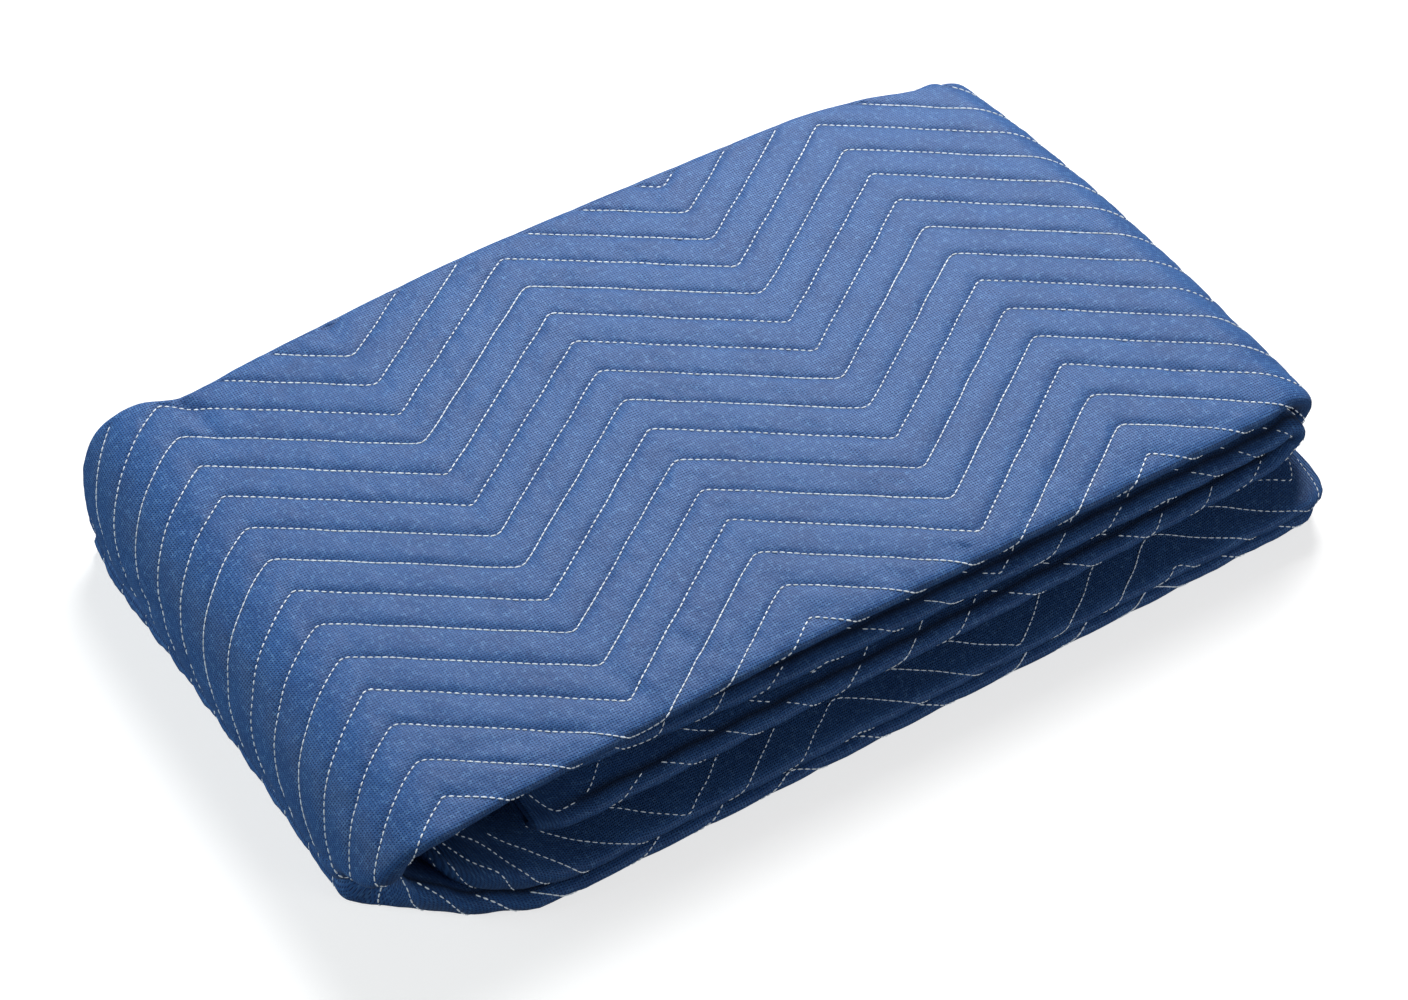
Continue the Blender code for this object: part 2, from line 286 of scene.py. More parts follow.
@dataclass(frozen=True)
class EndBuckle:
    """How the outer layer stands away and creases where the left end buckles at the floor."""

    degrees: tuple[float, ...] = (0, 15, 25, 36, 46, 56, 64, 74, 90)
    stand_offs: tuple[float, ...] = (
        0.0, 0.0012, 0.0036, 0.0074, 0.0092, 0.0068, 0.0004, 0.0026, 0.0030,
    )
    crease_angle: float = 64.0
    crease_half_width: float = 8.0
    crease_depth: float = 0.0034
    crease_rise: float = 72.0
    rise_from: float = 0.095
    rise_width: float = 0.085

    def stand_off(self, run: Run, place: Array) -> Array:
        """How far the outer layer stands away from the others.

        Args:
            run: The run.
            place: Distances along it.

        Returns:
            The stand-off at each place.
        """
        degrees = np.degrees((place - run.start["low corner"]) / run.low_radius)
        table = eased_between(
            np.clip(degrees, 0.0, 90.0), np.array(self.degrees, float), np.array(self.stand_offs)
        )
        fade_length = run.length["end wall"] + run.length["high corner"]
        fade = smooth_step((place - run.start["end wall"]) / fade_length)
        return np.where(degrees <= 90, table, self.stand_offs[-1] * (1 - fade))

    def crease(self, run: Run, place: Array, across: Array) -> Array:
        """Dent of the outer face along the crease of the left end, which rises to the front.

        Args:
            run: The run.
            place: Distances along it.
            across: Places across the cloth, a row for each place.

        Returns:
            The dent's depth, in the shape of across.
        """
        degrees = np.degrees((place - run.start["low corner"]) / run.low_radius)[:, None]
        rise = self.crease_rise * smooth_step((across - self.rise_from) / self.rise_width)
        away = np.abs(degrees - self.crease_angle - rise) / self.crease_half_width
        return self.crease_depth * (1 - smooth_step(away))


@dataclass(frozen=True)
class Crown:
    """How the block's rim drops, its right end runs askew and its back left corner rounds."""

    drop_along: float = 0.02
    drop_front: float = 0.02
    drop_back: float = 0.012
    roll_off: float = 0.022
    roll_off_from: float = -0.150
    roll_off_width: float = 0.048
    skew_at_back: float = 0.022
    skew_from: float = -0.110
    corner_inset: float = 0.010
    corner_depth: float = 0.090

    def shaped(self, sizes: ClothSizes, x: Array, y: Array, z: Array) -> Array:
        """Points of the block after its rim, right end and corner are shaped.

        Args:
            sizes: The folded cloth's sizes.
            x: X of the points.
            y: Y of the points.
            z: Z of the points.

        Returns:
            The points, with x, y and z in the last axis.
        """
        along = np.abs(2 * x / sizes.block_length)
        across = np.abs(y / sizes.half_depth)
        rim_drop = np.where(y < 0, self.drop_front, self.drop_back)
        at_front = smooth_step((self.roll_off_from - y) / self.roll_off_width)
        drop = self.drop_along * along**4 + rim_drop * across**4 + self.roll_off * at_front**2
        height = z * (1 - drop)
        to_back = np.maximum(0.0, (y - self.skew_from) / (sizes.half_depth - self.skew_from))
        near_back = np.maximum(0.0, (y - sizes.half_depth + self.corner_depth) / self.corner_depth)
        skew = -self.skew_at_back * along**3 * to_back**3
        inset = self.corner_inset * along**8 * near_back**2
        return np.stack((x + np.where(x > 0, skew, inset), y, height), axis=-1)


@dataclass(frozen=True)
class QuiltPattern:
    """The zigzag quilting: lines at even spacing that swing across the cloth together."""

    spacing: float = 0.03175
    period: float = 0.2617
    amplitude: float = 0.0937
    start_along: float = -0.2967
    start_across: float = -0.1400
    depth: float = 0.0013
    valley_width: float = 0.0026
    pillow: float = 0.0004
    wander: float = 0.0004
    pucker: float = 0.00040
    swell: float = 0.0009
    pucker_width: float = 0.0080
    spaced_lines: tuple[int, ...] = (0, 1, 4, 7, 10)
    sharp: float = 0.0006
    rounded: float = 0.0030

    def kind_of(self, line: int) -> StitchKind:
        """The stitch kind of a line, by its number from the line through the start."""
        return StitchKind.SPACED if line % 12 in self.spaced_lines else StitchKind.CLOSE

    def zigzag(self, along: Array, roundness: Array) -> Array:
        """Sideways swing of the lines, from 0 to the amplitude and back each period.

        Args:
            along: Distance along the cloth.
            roundness: How far the corners are rounded, from near 0.

        Returns:
            The swing.
        """
        phase = 2 * math.pi * (along / self.period - 0.25)
        wave = 2 / math.pi * np.arcsin((1 - roundness) * np.sin(phase))
        return self.amplitude * (1 + wave) / 2

    def roundness(self, line: Array) -> Array:
        """Roundness of the corners at line numbers, eased between lines."""
        whole = np.arange(-40, 60)
        table = [
            self.sharp if self.kind_of(int(n)) is StitchKind.SPACED else self.rounded for n in whole
        ]
        return np.interp(line, whole, table)

    def swing(self, along: Array, line: Array) -> Array:
        """Sideways place of a line, from its own start, with its slight wander.

        Args:
            along: Distance along the cloth.
            line: Line number, whole on a line.

        Returns:
            The swing at each place.
        """
        slow = np.sin(along / 0.0093 + 2.9 * line) * np.sin(along / 0.031 + 1.7 * line)
        quick = 0.4 * np.sin(along / 0.0047 + 5.1 * line)
        return self.zigzag(along, self.roundness(line)) + self.wander * (slow + quick)

    def across_of(self, along: Array, line: Array) -> Array:
        """Place across the cloth of a line at distances along it."""
        return self.start_across + line * self.spacing + self.swing(along, line)

    def line_at(self, along: Array, across: Array) -> Array:
        """Line number, with its fraction, at a place on the cloth.

        Args:
            along: Distance along the cloth.
            across: Place across the cloth.

        Returns:
            The number of the line there, which is whole on a line.
        """
        line = (across - self.start_across - self.zigzag(along, self.sharp)) / self.spacing
        for _ in range(3):
            line = line + (across - self.across_of(along, line)) / self.spacing
        return line

    def distance(self, along: Array, across: Array) -> Array:
        """Distance to the nearest line, squared off to the line's slope."""
        slope = 2 * self.amplitude / self.period
        line = self.line_at(along, across)
        return np.abs(line - np.round(line)) * self.spacing / math.sqrt(1 + slope**2)

    def relief(self, along: Array, across: Array) -> Array:
        """Height of the face over its flat one: valleys at the lines, and puckers beside them.

        Args:
            along: Distance along the cloth.
            across: Place across the cloth.

        Returns:
            The relief, mostly below 0.
        """
        away = self.distance(along, across)
        line = np.round(self.line_at(along, across))
        valley = -self.depth * np.exp(-((away / self.valley_width) ** 1.3))
        middle = away / (self.spacing / 2)
        crown = self.pillow * (1 - (1 - np.clip(middle, 0, 1)) ** 2)
        ripple = (
            np.sin(along / 0.00161 + 2.3 * line)
            + np.sin(along / 0.00223 + 4.1 * line)
            + np.sin(along / 0.00307 + 1.3 * line)
        )
        patch = 0.5 + 0.5 * np.sin(along / 0.023 + 1.9 * line) * np.sin(across / 0.019)
        puckers = self.pucker * patch * ripple * np.exp(-((away / self.pucker_width) ** 2))
        swell = self.swell * np.sin(along / 0.017 + 3 * line) * np.sin(across / 0.011 + 1.0)
        return valley + crown + puckers * smooth_step(away / 0.0015) + swell * middle


@dataclass(frozen=True)
class FabricFinish:
    """Blue cloth of fine weave: colour with pale flecks, weave and a soft sheen, with painted shade in the
    weave's dimples, along the stitch lines and in the gaps between the front folds.
    """

    name: str = "quilted_cloth_blue"
    colour: tuple[float, float, float] = (0.030, 0.111, 0.322)
    pale: tuple[float, float, float] = (0.118, 0.275, 0.560)
    dark: tuple[float, float, float] = (0.022, 0.084, 0.262)
    # Painted shade colour for the weave's dimples and the valleys along the stitch lines.
    hollow_shade: tuple[float, float, float] = (0.010, 0.042, 0.150)
    # Near-black painted shade colour for the narrow gaps between the front folds.
    gap_shade: tuple[float, float, float] = (0.004, 0.011, 0.034)
    roughness: float = 0.56
    weave_pitch: float = 0.00190
    weave_height: float = 0.00036
    cockle_height: float = 0.0009

    def material(self) -> bpy.types.Material:
        """The cloth's material, on the piece's own cloth coordinates."""
        material = bpy.data.materials.new(self.name)
        material.use_nodes = True
        tree = material.node_tree
        nodes, link = tree.nodes, tree.links.new
        shader = nodes["Principled BSDF"]
        shader.inputs["Roughness"].default_value = self.roughness
        shader.inputs["Specular IOR Level"].default_value = 0.28
        shader.inputs["Sheen Weight"].default_value = 0.08
        shader.inputs["Sheen Roughness"].default_value = 0.45
        shader.inputs["Sheen Tint"].default_value = (0.62, 0.75, 1.0, 1.0)
        cloth = nodes.new("ShaderNodeUVMap")
        cloth.uv_map = "cloth"
        threads = self._threads(tree, cloth.outputs["UV"])
        mottle = noise(tree, cloth.outputs["UV"], scale=26.0, detail=5.0, roughness=0.62)
        fleck = noise(tree, cloth.outputs["UV"], scale=240.0, detail=3.0, roughness=0.6)
        patch = noise(tree, cloth.outputs["UV"], scale=420.0, detail=2.0, roughness=0.7)
        base = mix_colour(tree, self.dark, self.colour, ramp(tree, mottle, 0.30, 0.62))
        flecked = mix_colour(tree, base, self.pale, scaled(tree, ramp(tree, fleck, 0.50, 0.72), 0.55))
        speckled = mix_colour(
            tree, flecked, self.pale, scaled(tree, ramp(tree, patch, 0.52, 0.72), 0.50)
        )
        # Painted shade: the weave's dimples are darkened towards the shade colour.
        weave_shaded = mix_colour(tree, speckled, self.hollow_shade, scaled(tree, threads, 1.0))
        # Painted shade along the stitch lines, driven by the seam closeness attribute.
        seam = nodes.new("ShaderNodeAttribute")
        seam.attribute_name = "seam"
        seam_shaded = mix_colour(tree, weave_shaded, self.hollow_shade, scaled(tree, seam.outputs["Fac"], 0.55))
        # Painted shade in the narrow gaps between the front folds, driven by the tuck attribute.
        tuck = nodes.new("ShaderNodeAttribute")
        tuck.attribute_name = "tuck"
        gap_shaded = mix_colour(tree, seam_shaded, self.gap_shade, scaled(tree, tuck.outputs["Fac"], 0.9))
        link(gap_shaded, shader.inputs["Base Color"])
        cockles = noise(tree, cloth.outputs["UV"], scale=75.0, detail=4.0, roughness=0.55)
        soft = bump(tree, cockles, self.cockle_height, None)
        weave = bump(tree, threads, -self.weave_height, soft)
        fuzz = bump(tree, patch, 0.00010, weave)
        link(fuzz, shader.inputs["Normal"])
        return material

    def _threads(self, tree: bpy.types.NodeTree, cloth: bpy.types.NodeSocket) -> bpy.types.NodeSocket:
        """Square dimples of the weave.

        Args:
            tree: The material's tree.
            cloth: The cloth coordinates.

        Returns:
            A socket that is 1 in a dimple and 0 between dimples.
        """
        parts = tree.nodes.new("ShaderNodeSeparateXYZ")
        tree.links.new(cloth, parts.inputs["Vector"])
        waves = []
        for axis in ("X", "Y"):
            turn = math_node(tree, "MULTIPLY", parts.outputs[axis], 2 * math.pi / self.weave_pitch)
            wave = math_node(tree, "SINE", turn)
            waves.append(math_node(tree, "MULTIPLY_ADD", wave, 0.5, 0.5))
        return ramp(tree, math_node(tree, "MULTIPLY", waves[0], waves[1]), 0.20, 0.75)


@dataclass(frozen=True)
class ThreadFinish:
    """Off-white sewing thread, with a painted glow that keeps it bright in shade."""

    name: str = "quilting_thread"
    colour: tuple[float, float, float] = (0.88, 0.95, 1.00)
    # Strength of the thread's painted glow, which stands in for light.
    painted_glow: float = 0.14
    roughness: float = 0.62

    def material(self) -> bpy.types.Material:
        """The thread's material, with a faint twist, uneven whiteness and a painted glow."""
        material = bpy.data.materials.new(self.name)
        material.use_nodes = True
        tree = material.node_tree
        shader = tree.nodes["Principled BSDF"]
        shader.inputs["Roughness"].default_value = self.roughness
        shader.inputs["Sheen Weight"].default_value = 0.3
        # Painted glow: the thread emits a faint bluish light so that it stays bright in shade.
        shader.inputs["Emission Color"].default_value = (0.74, 0.88, 1.0, 1.0)
        shader.inputs["Emission Strength"].default_value = self.painted_glow
        place = tree.nodes.new("ShaderNodeTexCoord")
        uneven = noise(tree, place.outputs["Object"], scale=90.0, detail=2.0, roughness=0.5)
        grey = tuple(0.80 * value for value in self.colour)
        colour = mix_colour(tree, grey, self.colour, ramp(tree, uneven, 0.35, 0.65))
        tree.links.new(colour, shader.inputs["Base Color"])
        twist = noise(tree, place.outputs["Object"], scale=2600.0, detail=1.0, roughness=0.5)
        tree.links.new(bump(tree, twist, 0.0001, None), shader.inputs["Normal"])
        return material


@dataclass(frozen=True)
class FloorFinish:
    """Plain pale floor."""

    name: str = "pale_floor"
    colour: tuple[float, float, float] = (0.45, 0.45, 0.45)
    glow: float = 0.70

    def material(self) -> bpy.types.Material:
        """The floor's material."""
        material = bpy.data.materials.new(self.name)
        material.use_nodes = True
        shader = material.node_tree.nodes["Principled BSDF"]
        shader.inputs["Emission Color"].default_value = (1.0, 1.0, 1.0, 1.0)
        shader.inputs["Emission Strength"].default_value = self.glow
        shader.inputs["Base Color"].default_value = (*self.colour, 1.0)
        shader.inputs["Roughness"].default_value = 0.9
        return material


def set_input(tree: bpy.types.NodeTree, socket: bpy.types.NodeSocket, value: object) -> None:
    """Links a socket to another, or sets its value.

    Args:
        tree: The node tree.
        socket: The input.
        value: An output socket, a number or a colour.
    """
    if isinstance(value, bpy.types.NodeSocket):
        tree.links.new(value, socket)
    elif isinstance(value, tuple):
        socket.default_value = (*value, 1.0)
    else:
        socket.default_value = value


def math_node(tree: bpy.types.NodeTree, operation: str, *values: object) -> bpy.types.NodeSocket:
    """A Math node on sockets or numbers.

    Args:
        tree: The node tree.
        operation: The node's operation.
        *values: Its inputs in order.

    Returns:
        The result's socket.
    """
    node = tree.nodes.new("ShaderNodeMath")
    node.operation = operation
    for socket, value in zip(node.inputs, values):
        set_input(tree, socket, value)
    return node.outputs["Value"]


def noise(
    tree: bpy.types.NodeTree, place: bpy.types.NodeSocket, scale: float, detail: float, roughness: float
) -> bpy.types.NodeSocket:
    """A noise texture's value.

    Args:
        tree: The node tree.
        place: The coordinates it reads, in metres.
        scale: Features in a metre.
        detail: Octaves.
        roughness: How strong the fine octaves are.

    Returns:
        The value's socket.
    """
    node = tree.nodes.new("ShaderNodeTexNoise")
    tree.links.new(place, node.inputs["Vector"])
    node.inputs["Scale"].default_value = scale
    node.inputs["Detail"].default_value = detail
    node.inputs["Roughness"].default_value = roughness
    return node.outputs["Fac"]


def ramp(
    tree: bpy.types.NodeTree, value: bpy.types.NodeSocket, low: float, high: float
) -> bpy.types.NodeSocket:
    """A value stretched so that low becomes 0 and high becomes 1, softly.

    Args:
        tree: The node tree.
        value: The value.
        low: What becomes 0.
        high: What becomes 1.

    Returns:
        The stretched value's socket.
    """
    node = tree.nodes.new("ShaderNodeMapRange")
    node.interpolation_type = "SMOOTHSTEP"
    tree.links.new(value, node.inputs["Value"])
    node.inputs["From Min"].default_value = low
    node.inputs["From Max"].default_value = high
    return node.outputs["Result"]


def scaled(
    tree: bpy.types.NodeTree, value: bpy.types.NodeSocket, factor: float
) -> bpy.types.NodeSocket:
    """A value times a factor."""
    return math_node(tree, "MULTIPLY", value, factor)


def mix_colour(
    tree: bpy.types.NodeTree, first: object, second: object, share: bpy.types.NodeSocket
) -> bpy.types.NodeSocket:
    """A mix of two colours.

    Args:
        tree: The node tree.
        first: The colour where share is 0, as a socket or a tuple.
        second: The colour where share is 1.
        share: How much of the second.

    Returns:
        The mixed colour's socket.
    """
    node = tree.nodes.new("ShaderNodeMix")
    node.data_type = "RGBA"
    tree.links.new(share, node.inputs[0])
    set_input(tree, node.inputs[6], first)
    set_input(tree, node.inputs[7], second)
    return node.outputs[2]


def bump(
    tree: bpy.types.NodeTree, height: bpy.types.NodeSocket, depth: float, under: bpy.types.NodeSocket | None
) -> bpy.types.NodeSocket:
    """A Bump node.

    Args:
        tree: The node tree.
        height: The height, from 0 to 1.
        depth: The real depth of a height of 1; below 0 it goes inwards.
        under: The normal that it adds to, or None.

    Returns:
        The normal's socket.
    """
    node = tree.nodes.new("ShaderNodeBump")
    node.invert = depth < 0
    node.inputs["Strength"].default_value = 1.0
    node.inputs["Distance"].default_value = abs(depth)
    tree.links.new(height, node.inputs["Height"])
    if under is not None:
        tree.links.new(under, node.inputs["Normal"])
    return node.outputs["Normal"]


HEM_ROWS = (0.0, 0.0004, 0.0012, 0.0022, 0.0034)
OUTER_ROWS = (0.0, 0.004, 0.009, 0.017, 0.030, 0.060)
INNER_ROWS = (0.0, 0.006, 0.016, 0.036)
BACK_ROWS = (0.0, 0.006, 0.030)
MIDDLE_ROWS = (0.25, 0.5, 0.75)
FRONT_FOLD_SPANS = 13
BACK_FOLD_SPANS = 6
NOSE_SAMPLES = 97
FLOOR_STEPS = (
    ("free end", 0.3, "floor strip", 0.08, 0.0045),
    ("floor strip", 0.08, "near end", 0.0, 0.0070),
    ("near end", 0.0, "low corner", 0.0, 0.0032),
)
SHOWN_STEPS = (
    ("low corner", 0.0, "low corner", 0.45, 0.0020),
    ("low corner", 0.45, "end wall", 0.0, 0.0009),
    ("end wall", 0.0, "high corner", 0.25, 0.0015),
    ("high corner", 0.25, "top strip", 0.0, 0.0025),
    ("top strip", 0.0, "right turn", 0.0, 0.0044),
    ("right turn", 0.0, "middle strip", 0.0, 0.0020),
)
MIDDLE_STEPS = (
    ("middle strip", 0.0, "middle strip", 0.12, 0.0040),
    ("middle strip", 0.12, "middle strip", 0.84, 0.0070),
    ("middle strip", 0.84, "middle strip", 0.985, 0.0036),
)


@dataclass(frozen=True)
class Dent:
    """One dimple or short crease of the shown face."""

    stretch: str
    part: float
    across: float
    half_length: float
    half_width: float
    degrees: float
    depth: float


DENTS = (
    Dent("high corner", 0.10, 0.178, 0.014, 0.0035, 60.0, 0.0030),
    Dent("high corner", 0.62, 0.150, 0.022, 0.0060, 35.0, 0.0012),
    Dent("top strip", 0.10, 0.165, 0.030, 0.0070, 20.0, 0.0016),
    Dent("top strip", 0.23, 0.168, 0.016, 0.0050, 70.0, 0.0014),
    Dent("top strip", 0.31, 0.160, 0.020, 0.0060, 55.0, 0.0016),
    Dent("top strip", 0.36, 0.172, 0.012, 0.0045, 80.0, 0.0013),
    Dent("top strip", 0.52, 0.168, 0.014, 0.0050, 75.0, 0.0012),
    Dent("top strip", 0.74, 0.165, 0.016, 0.0050, 70.0, 0.0012),
    Dent("top strip", 0.93, 0.120, 0.030, 0.0060, 75.0, 0.0014),
    Dent("right turn", 0.15, 0.150, 0.014, 0.0040, 50.0, 0.0016),
    Dent("right turn", 0.25, 0.090, 0.024, 0.0060, 70.0, 0.0012),
    Dent("top strip", 0.045, -0.185, 0.030, 0.0070, 80.0, 0.0026),
    Dent("low corner", 0.50, -0.165, 0.070, 0.0090, 90.0, -0.0050),
    Dent("end wall", 0.50, -0.100, 0.040, 0.0060, 65.0, 0.0014),
    Dent("high corner", 0.30, 0.020, 0.050, 0.0080, 75.0, 0.0010),
    Dent("low corner", 0.90, 0.060, 0.045, 0.0060, 80.0, 0.0012),
)


@dataclass
class FoldedBlanket:
    """The blanket itself: one sheet, folded, with its quilting raised on both faces."""

    name: str = "moving_blanket"
    sizes: ClothSizes = field(default_factory=ClothSizes)
    quilt: QuiltPattern = field(default_factory=QuiltPattern)
    buckle: EndBuckle = field(default_factory=EndBuckle)
    crown: Crown = field(default_factory=Crown)
    finish: FabricFinish = field(default_factory=FabricFinish)
    scallop_depth: float = 0.0007
    scallop_width: float = 0.0055
    opening_length: float = 0.036
    seam_width: float = 0.0016
    tuck_width: float = 0.0036
    coarse_share: float = 0.35
    share_width: float = 0.010
    turn_flattening: float = 0.5
    row_offsets: tuple[float, ...] = (0.0, 0.04, 0.10, 0.19, 0.33, 0.5, 0.67, 0.81, 0.90, 0.96)
    base_offsets: tuple[float, ...] = (0.0, 0.10, 0.5, 0.90)

    def __post_init__(self) -> None:
        """Lays out the run and the table of reaches."""
        self.run = Run(self.sizes)
        self.places = np.array([self.run.place_of(r.stretch, r.part) for r in REACHES])
        self.nose_parts = np.linspace(0.0, 1.0, NOSE_SAMPLES)
        forward, height = self.nose_outline(self.nose_parts, np.zeros(NOSE_SAMPLES))
        steps = np.hypot(np.diff(forward), np.diff(height))
        self.nose_lengths = np.concatenate(([0.0], np.cumsum(steps)))

    def reach(self, name: str, place: Array) -> Array:
        """Reach of one fold or hem at distances along the run."""
        return eased_between(place, self.places, np.array([getattr(r, name) for r in REACHES]))

    def bounds_across(self, place: Array, plain: bool = False) -> Array:
        """Where the panels and folds start and end across the cloth.

        Args:
            place: Distances along the run.
            plain: Whether to leave out the scallops that the quilting lines draw in the folds.

        Returns:
            A row for each place: the outer hem, both ends of the outer, back and inner fold,
            and the inner hem.
        """
        rim = (self.sizes.pitch + self.sizes.thickness) / 2
        nose = rim * self.sizes.nose_stretch
        plain_bend = math.pi * math.sqrt((self.sizes.nose_stretch**2 + 1) / 2)
        outer_bend, inner_bend = (
            math.pi * np.sqrt((nose**2 + (rim + self.reach(name, place) / 2) ** 2) / 2)
            * self.nose_lengths[-1] / plain_bend
            for name in ("outer_opening", "inner_opening")
        )
        back_bend = np.full_like(outer_bend, math.pi * rim)
        outer = self.reach("outer_fold", place) - nose
        inner = self.reach("inner_fold", place) - nose
        back = self.reach("back_fold", place) - rim
        if not plain:
            outer, inner = outer + self.scallop(place, 1), inner + self.scallop(place, 5)
        hem = -self.reach("outer_hem", place)
        steps = (
            outer - hem, outer_bend, outer + back, back_bend, back + inner, inner_bend,
            inner + self.reach("inner_hem", place),
        )
        return np.cumsum(np.stack((hem, *steps), axis=1), axis=1)

    def scallop(self, place: Array, fold: int) -> Array:
        """How far a front fold puffs out between quilting lines and is drawn in at them.

        Args:
            place: Distances along the run.
            fold: Number of the fold's start in the bounds.

        Returns:
            The change of the fold's reach.
        """
        bounds = self.bounds_across(place, plain=True)
        middle = bounds[:, fold : fold + 2].mean(axis=1, keepdims=True)
        away = self.quilt.distance(self.along_of(place, middle), middle)[:, 0]
        return self.scallop_depth * (0.4 - np.exp(-((away / self.scallop_width) ** 2)))

    def along_of(self, place: Array, across: Array) -> Array:
        """Distance along the cloth, which takes the long way round on the outer panels.

        Args:
            place: Distances along the run, one for each row of across.
            across: Places across the cloth.

        Returns:
            The distance along the cloth, in the shape of across.
        """
        run, sizes = self.run, self.sizes
        _, _, turning = run.frame_at(place)
        lead = turning - math.pi
        floor_part = (run.start["low corner"] - place) / run.start["low corner"]
        middle_part = (place - run.start["middle strip"]) / run.length["middle strip"]
        lead = lead * (1 - np.clip(floor_part, 0, 1)) * (1 - np.clip(middle_part, 0, 1))
        bounds = self.bounds_across(place, plain=True)
        inner = smooth_step((across - bounds[:, 3:4]) / (bounds[:, 4:5] - bounds[:, 3:4]))
        height = sizes.half_strip * (1 - inner) - sizes.pitch * inner
        top = sizes.left_end + sizes.high_corner_radius - self.quilt.start_along
        return top + (place - run.start["top strip"])[:, None] + height * lead[:, None]

    def surface(
        self, place: Array, across: Array, face: Face, lift: Array, thin: Array
    ) -> Array:
        """Points of the folded cloth.

        Args:
            place: Distances along the run, one for each row of across.
            across: Places across the cloth.
            face: Which face.
            lift: How far the points stand off the face's plain form.
            thin: Share of the thickness there, under 1 near an edge.

        Returns:
            The points, in the shape of across with x, y and z added.
        """
        sizes, bounds = self.sizes, self.bounds_across(place)
        radius = sizes.pitch / 2
        starts = [bounds[:, i : i + 1] for i in range(8)]
        front_a = starts[1]
        back = front_a - (starts[3] - starts[2])
        front_b = back + (starts[5] - starts[4])
        turn_a, turn_back, turn_b = (
            math.pi * (across - starts[i]) / (starts[i + 1] - starts[i]) for i in (1, 3, 5)
        )
        open_a = self.reach("outer_opening", place)[:, None]
        open_b = self.reach("inner_opening", place)[:, None]
        round_a, round_b = radius + open_a / 2, radius + open_b / 2
        apart_a = open_a * (1 - smooth_step((across - starts[2]) / self.opening_length))
        apart_b = open_b * (1 - smooth_step((across - starts[6]) / (2 * self.opening_length)))
        one, none = np.ones_like(across), np.zeros_like(across)
        sin_a, cos_a = self.nose(place, turn_a)
        sin_b, cos_b = self.nose(place, turn_b)
        ways = [
            (across, 3 * radius * one, none, one),
            (front_a + radius * sin_a, 3 * radius - round_a * (1 - cos_a), sin_a, cos_a),
            (front_a - (across - starts[2]), radius - apart_a, none, -one),
            (back - radius * np.sin(turn_back), radius * np.cos(turn_back),
             np.sin(turn_back), -np.cos(turn_back)),
            (back + (across - starts[4]), -radius * one, none, one),
            (front_b + radius * sin_b, -radius - round_b * (1 - cos_b), sin_b, cos_b),
            (front_b - (across - starts[6]), -3 * radius - apart_b, none, -one),
        ]
        segment = np.zeros(across.shape, int)
        for i in range(1, 7):
            segment += across > starts[i]
        reach, height, normal_reach, normal_height = (
            np.choose(segment, [way[k] for way in ways]) for k in range(4)
        )
        out = face.value * (sizes.thickness / 2 * thin + lift)
        reach = reach + out * normal_reach
        height = height + out * normal_height
        gap_start = sizes.half_strip - sizes.pitch
        on_outer = smooth_step((height - gap_start) / (sizes.pitch - sizes.thickness))
        height = height + self.buckle.stand_off(self.run, place)[:, None] * on_outer
        points, normals, _ = self.run.frame_at(place)
        x = points[:, :1] + height * normals[:, :1]
        z = points[:, 1:] + height * normals[:, 1:]
        return self.crown.shaped(sizes, x, -reach, np.maximum(z, 0.0))

    def nose_outline(self, part: Array, outer_down: Array) -> tuple[Array, Array]:
        """Outline of a front fold: flat above, furthest forward near its upper side.

        Args:
            part: How far round the fold, from 0 on its outer side to 1.
            outer_down: 1 where the outer side looks down, 0 where it looks up.

        Returns:
            How far forward and how far towards the outer layer, in radii.
        """
        sizes = self.sizes
        lower = smooth_step(5 * part - 2)
        lower = lower + outer_down * (1 - 2 * lower)
        power = sizes.nose_upper + (sizes.nose_lower - sizes.nose_upper) * lower
        forward = np.maximum(np.sin(math.pi * part), 0.0) ** power
        upright = np.cos(math.pi * part)
        front = sizes.nose_rise * (1 - 2 * outer_down)
        above = (1 - front) * np.maximum(upright, 0.0) ** power
        below = (1 + front) * np.maximum(-upright, 0.0) ** power
        return sizes.nose_stretch * forward, front + above - below

    def nose(self, place: Array, turn: Array) -> tuple[Array, Array]:
        """The outline of a front fold, read at even steps round it.

        Args:
            place: Distances along the run, one for each row of turn.
            turn: How far round the fold, from 0 to pi; beyond, the ends' values are given.

        Returns:
            How far forward and how far towards the outer layer, in radii.
        """
        _, _, turning = self.run.frame_at(place)
        outer_down = (1 + np.cos(turning))[:, None] / 2
        part = np.clip(turn / math.pi, 0.0, 1.0)
        even = self.nose_lengths / self.nose_lengths[-1]
        outer_up_part = np.interp(part, even, self.nose_parts)
        outer_down_part = 1 - np.interp(1 - part, even, self.nose_parts)
        part = outer_up_part + outer_down * (outer_down_part - outer_up_part)
        return self.nose_outline(part, outer_down)

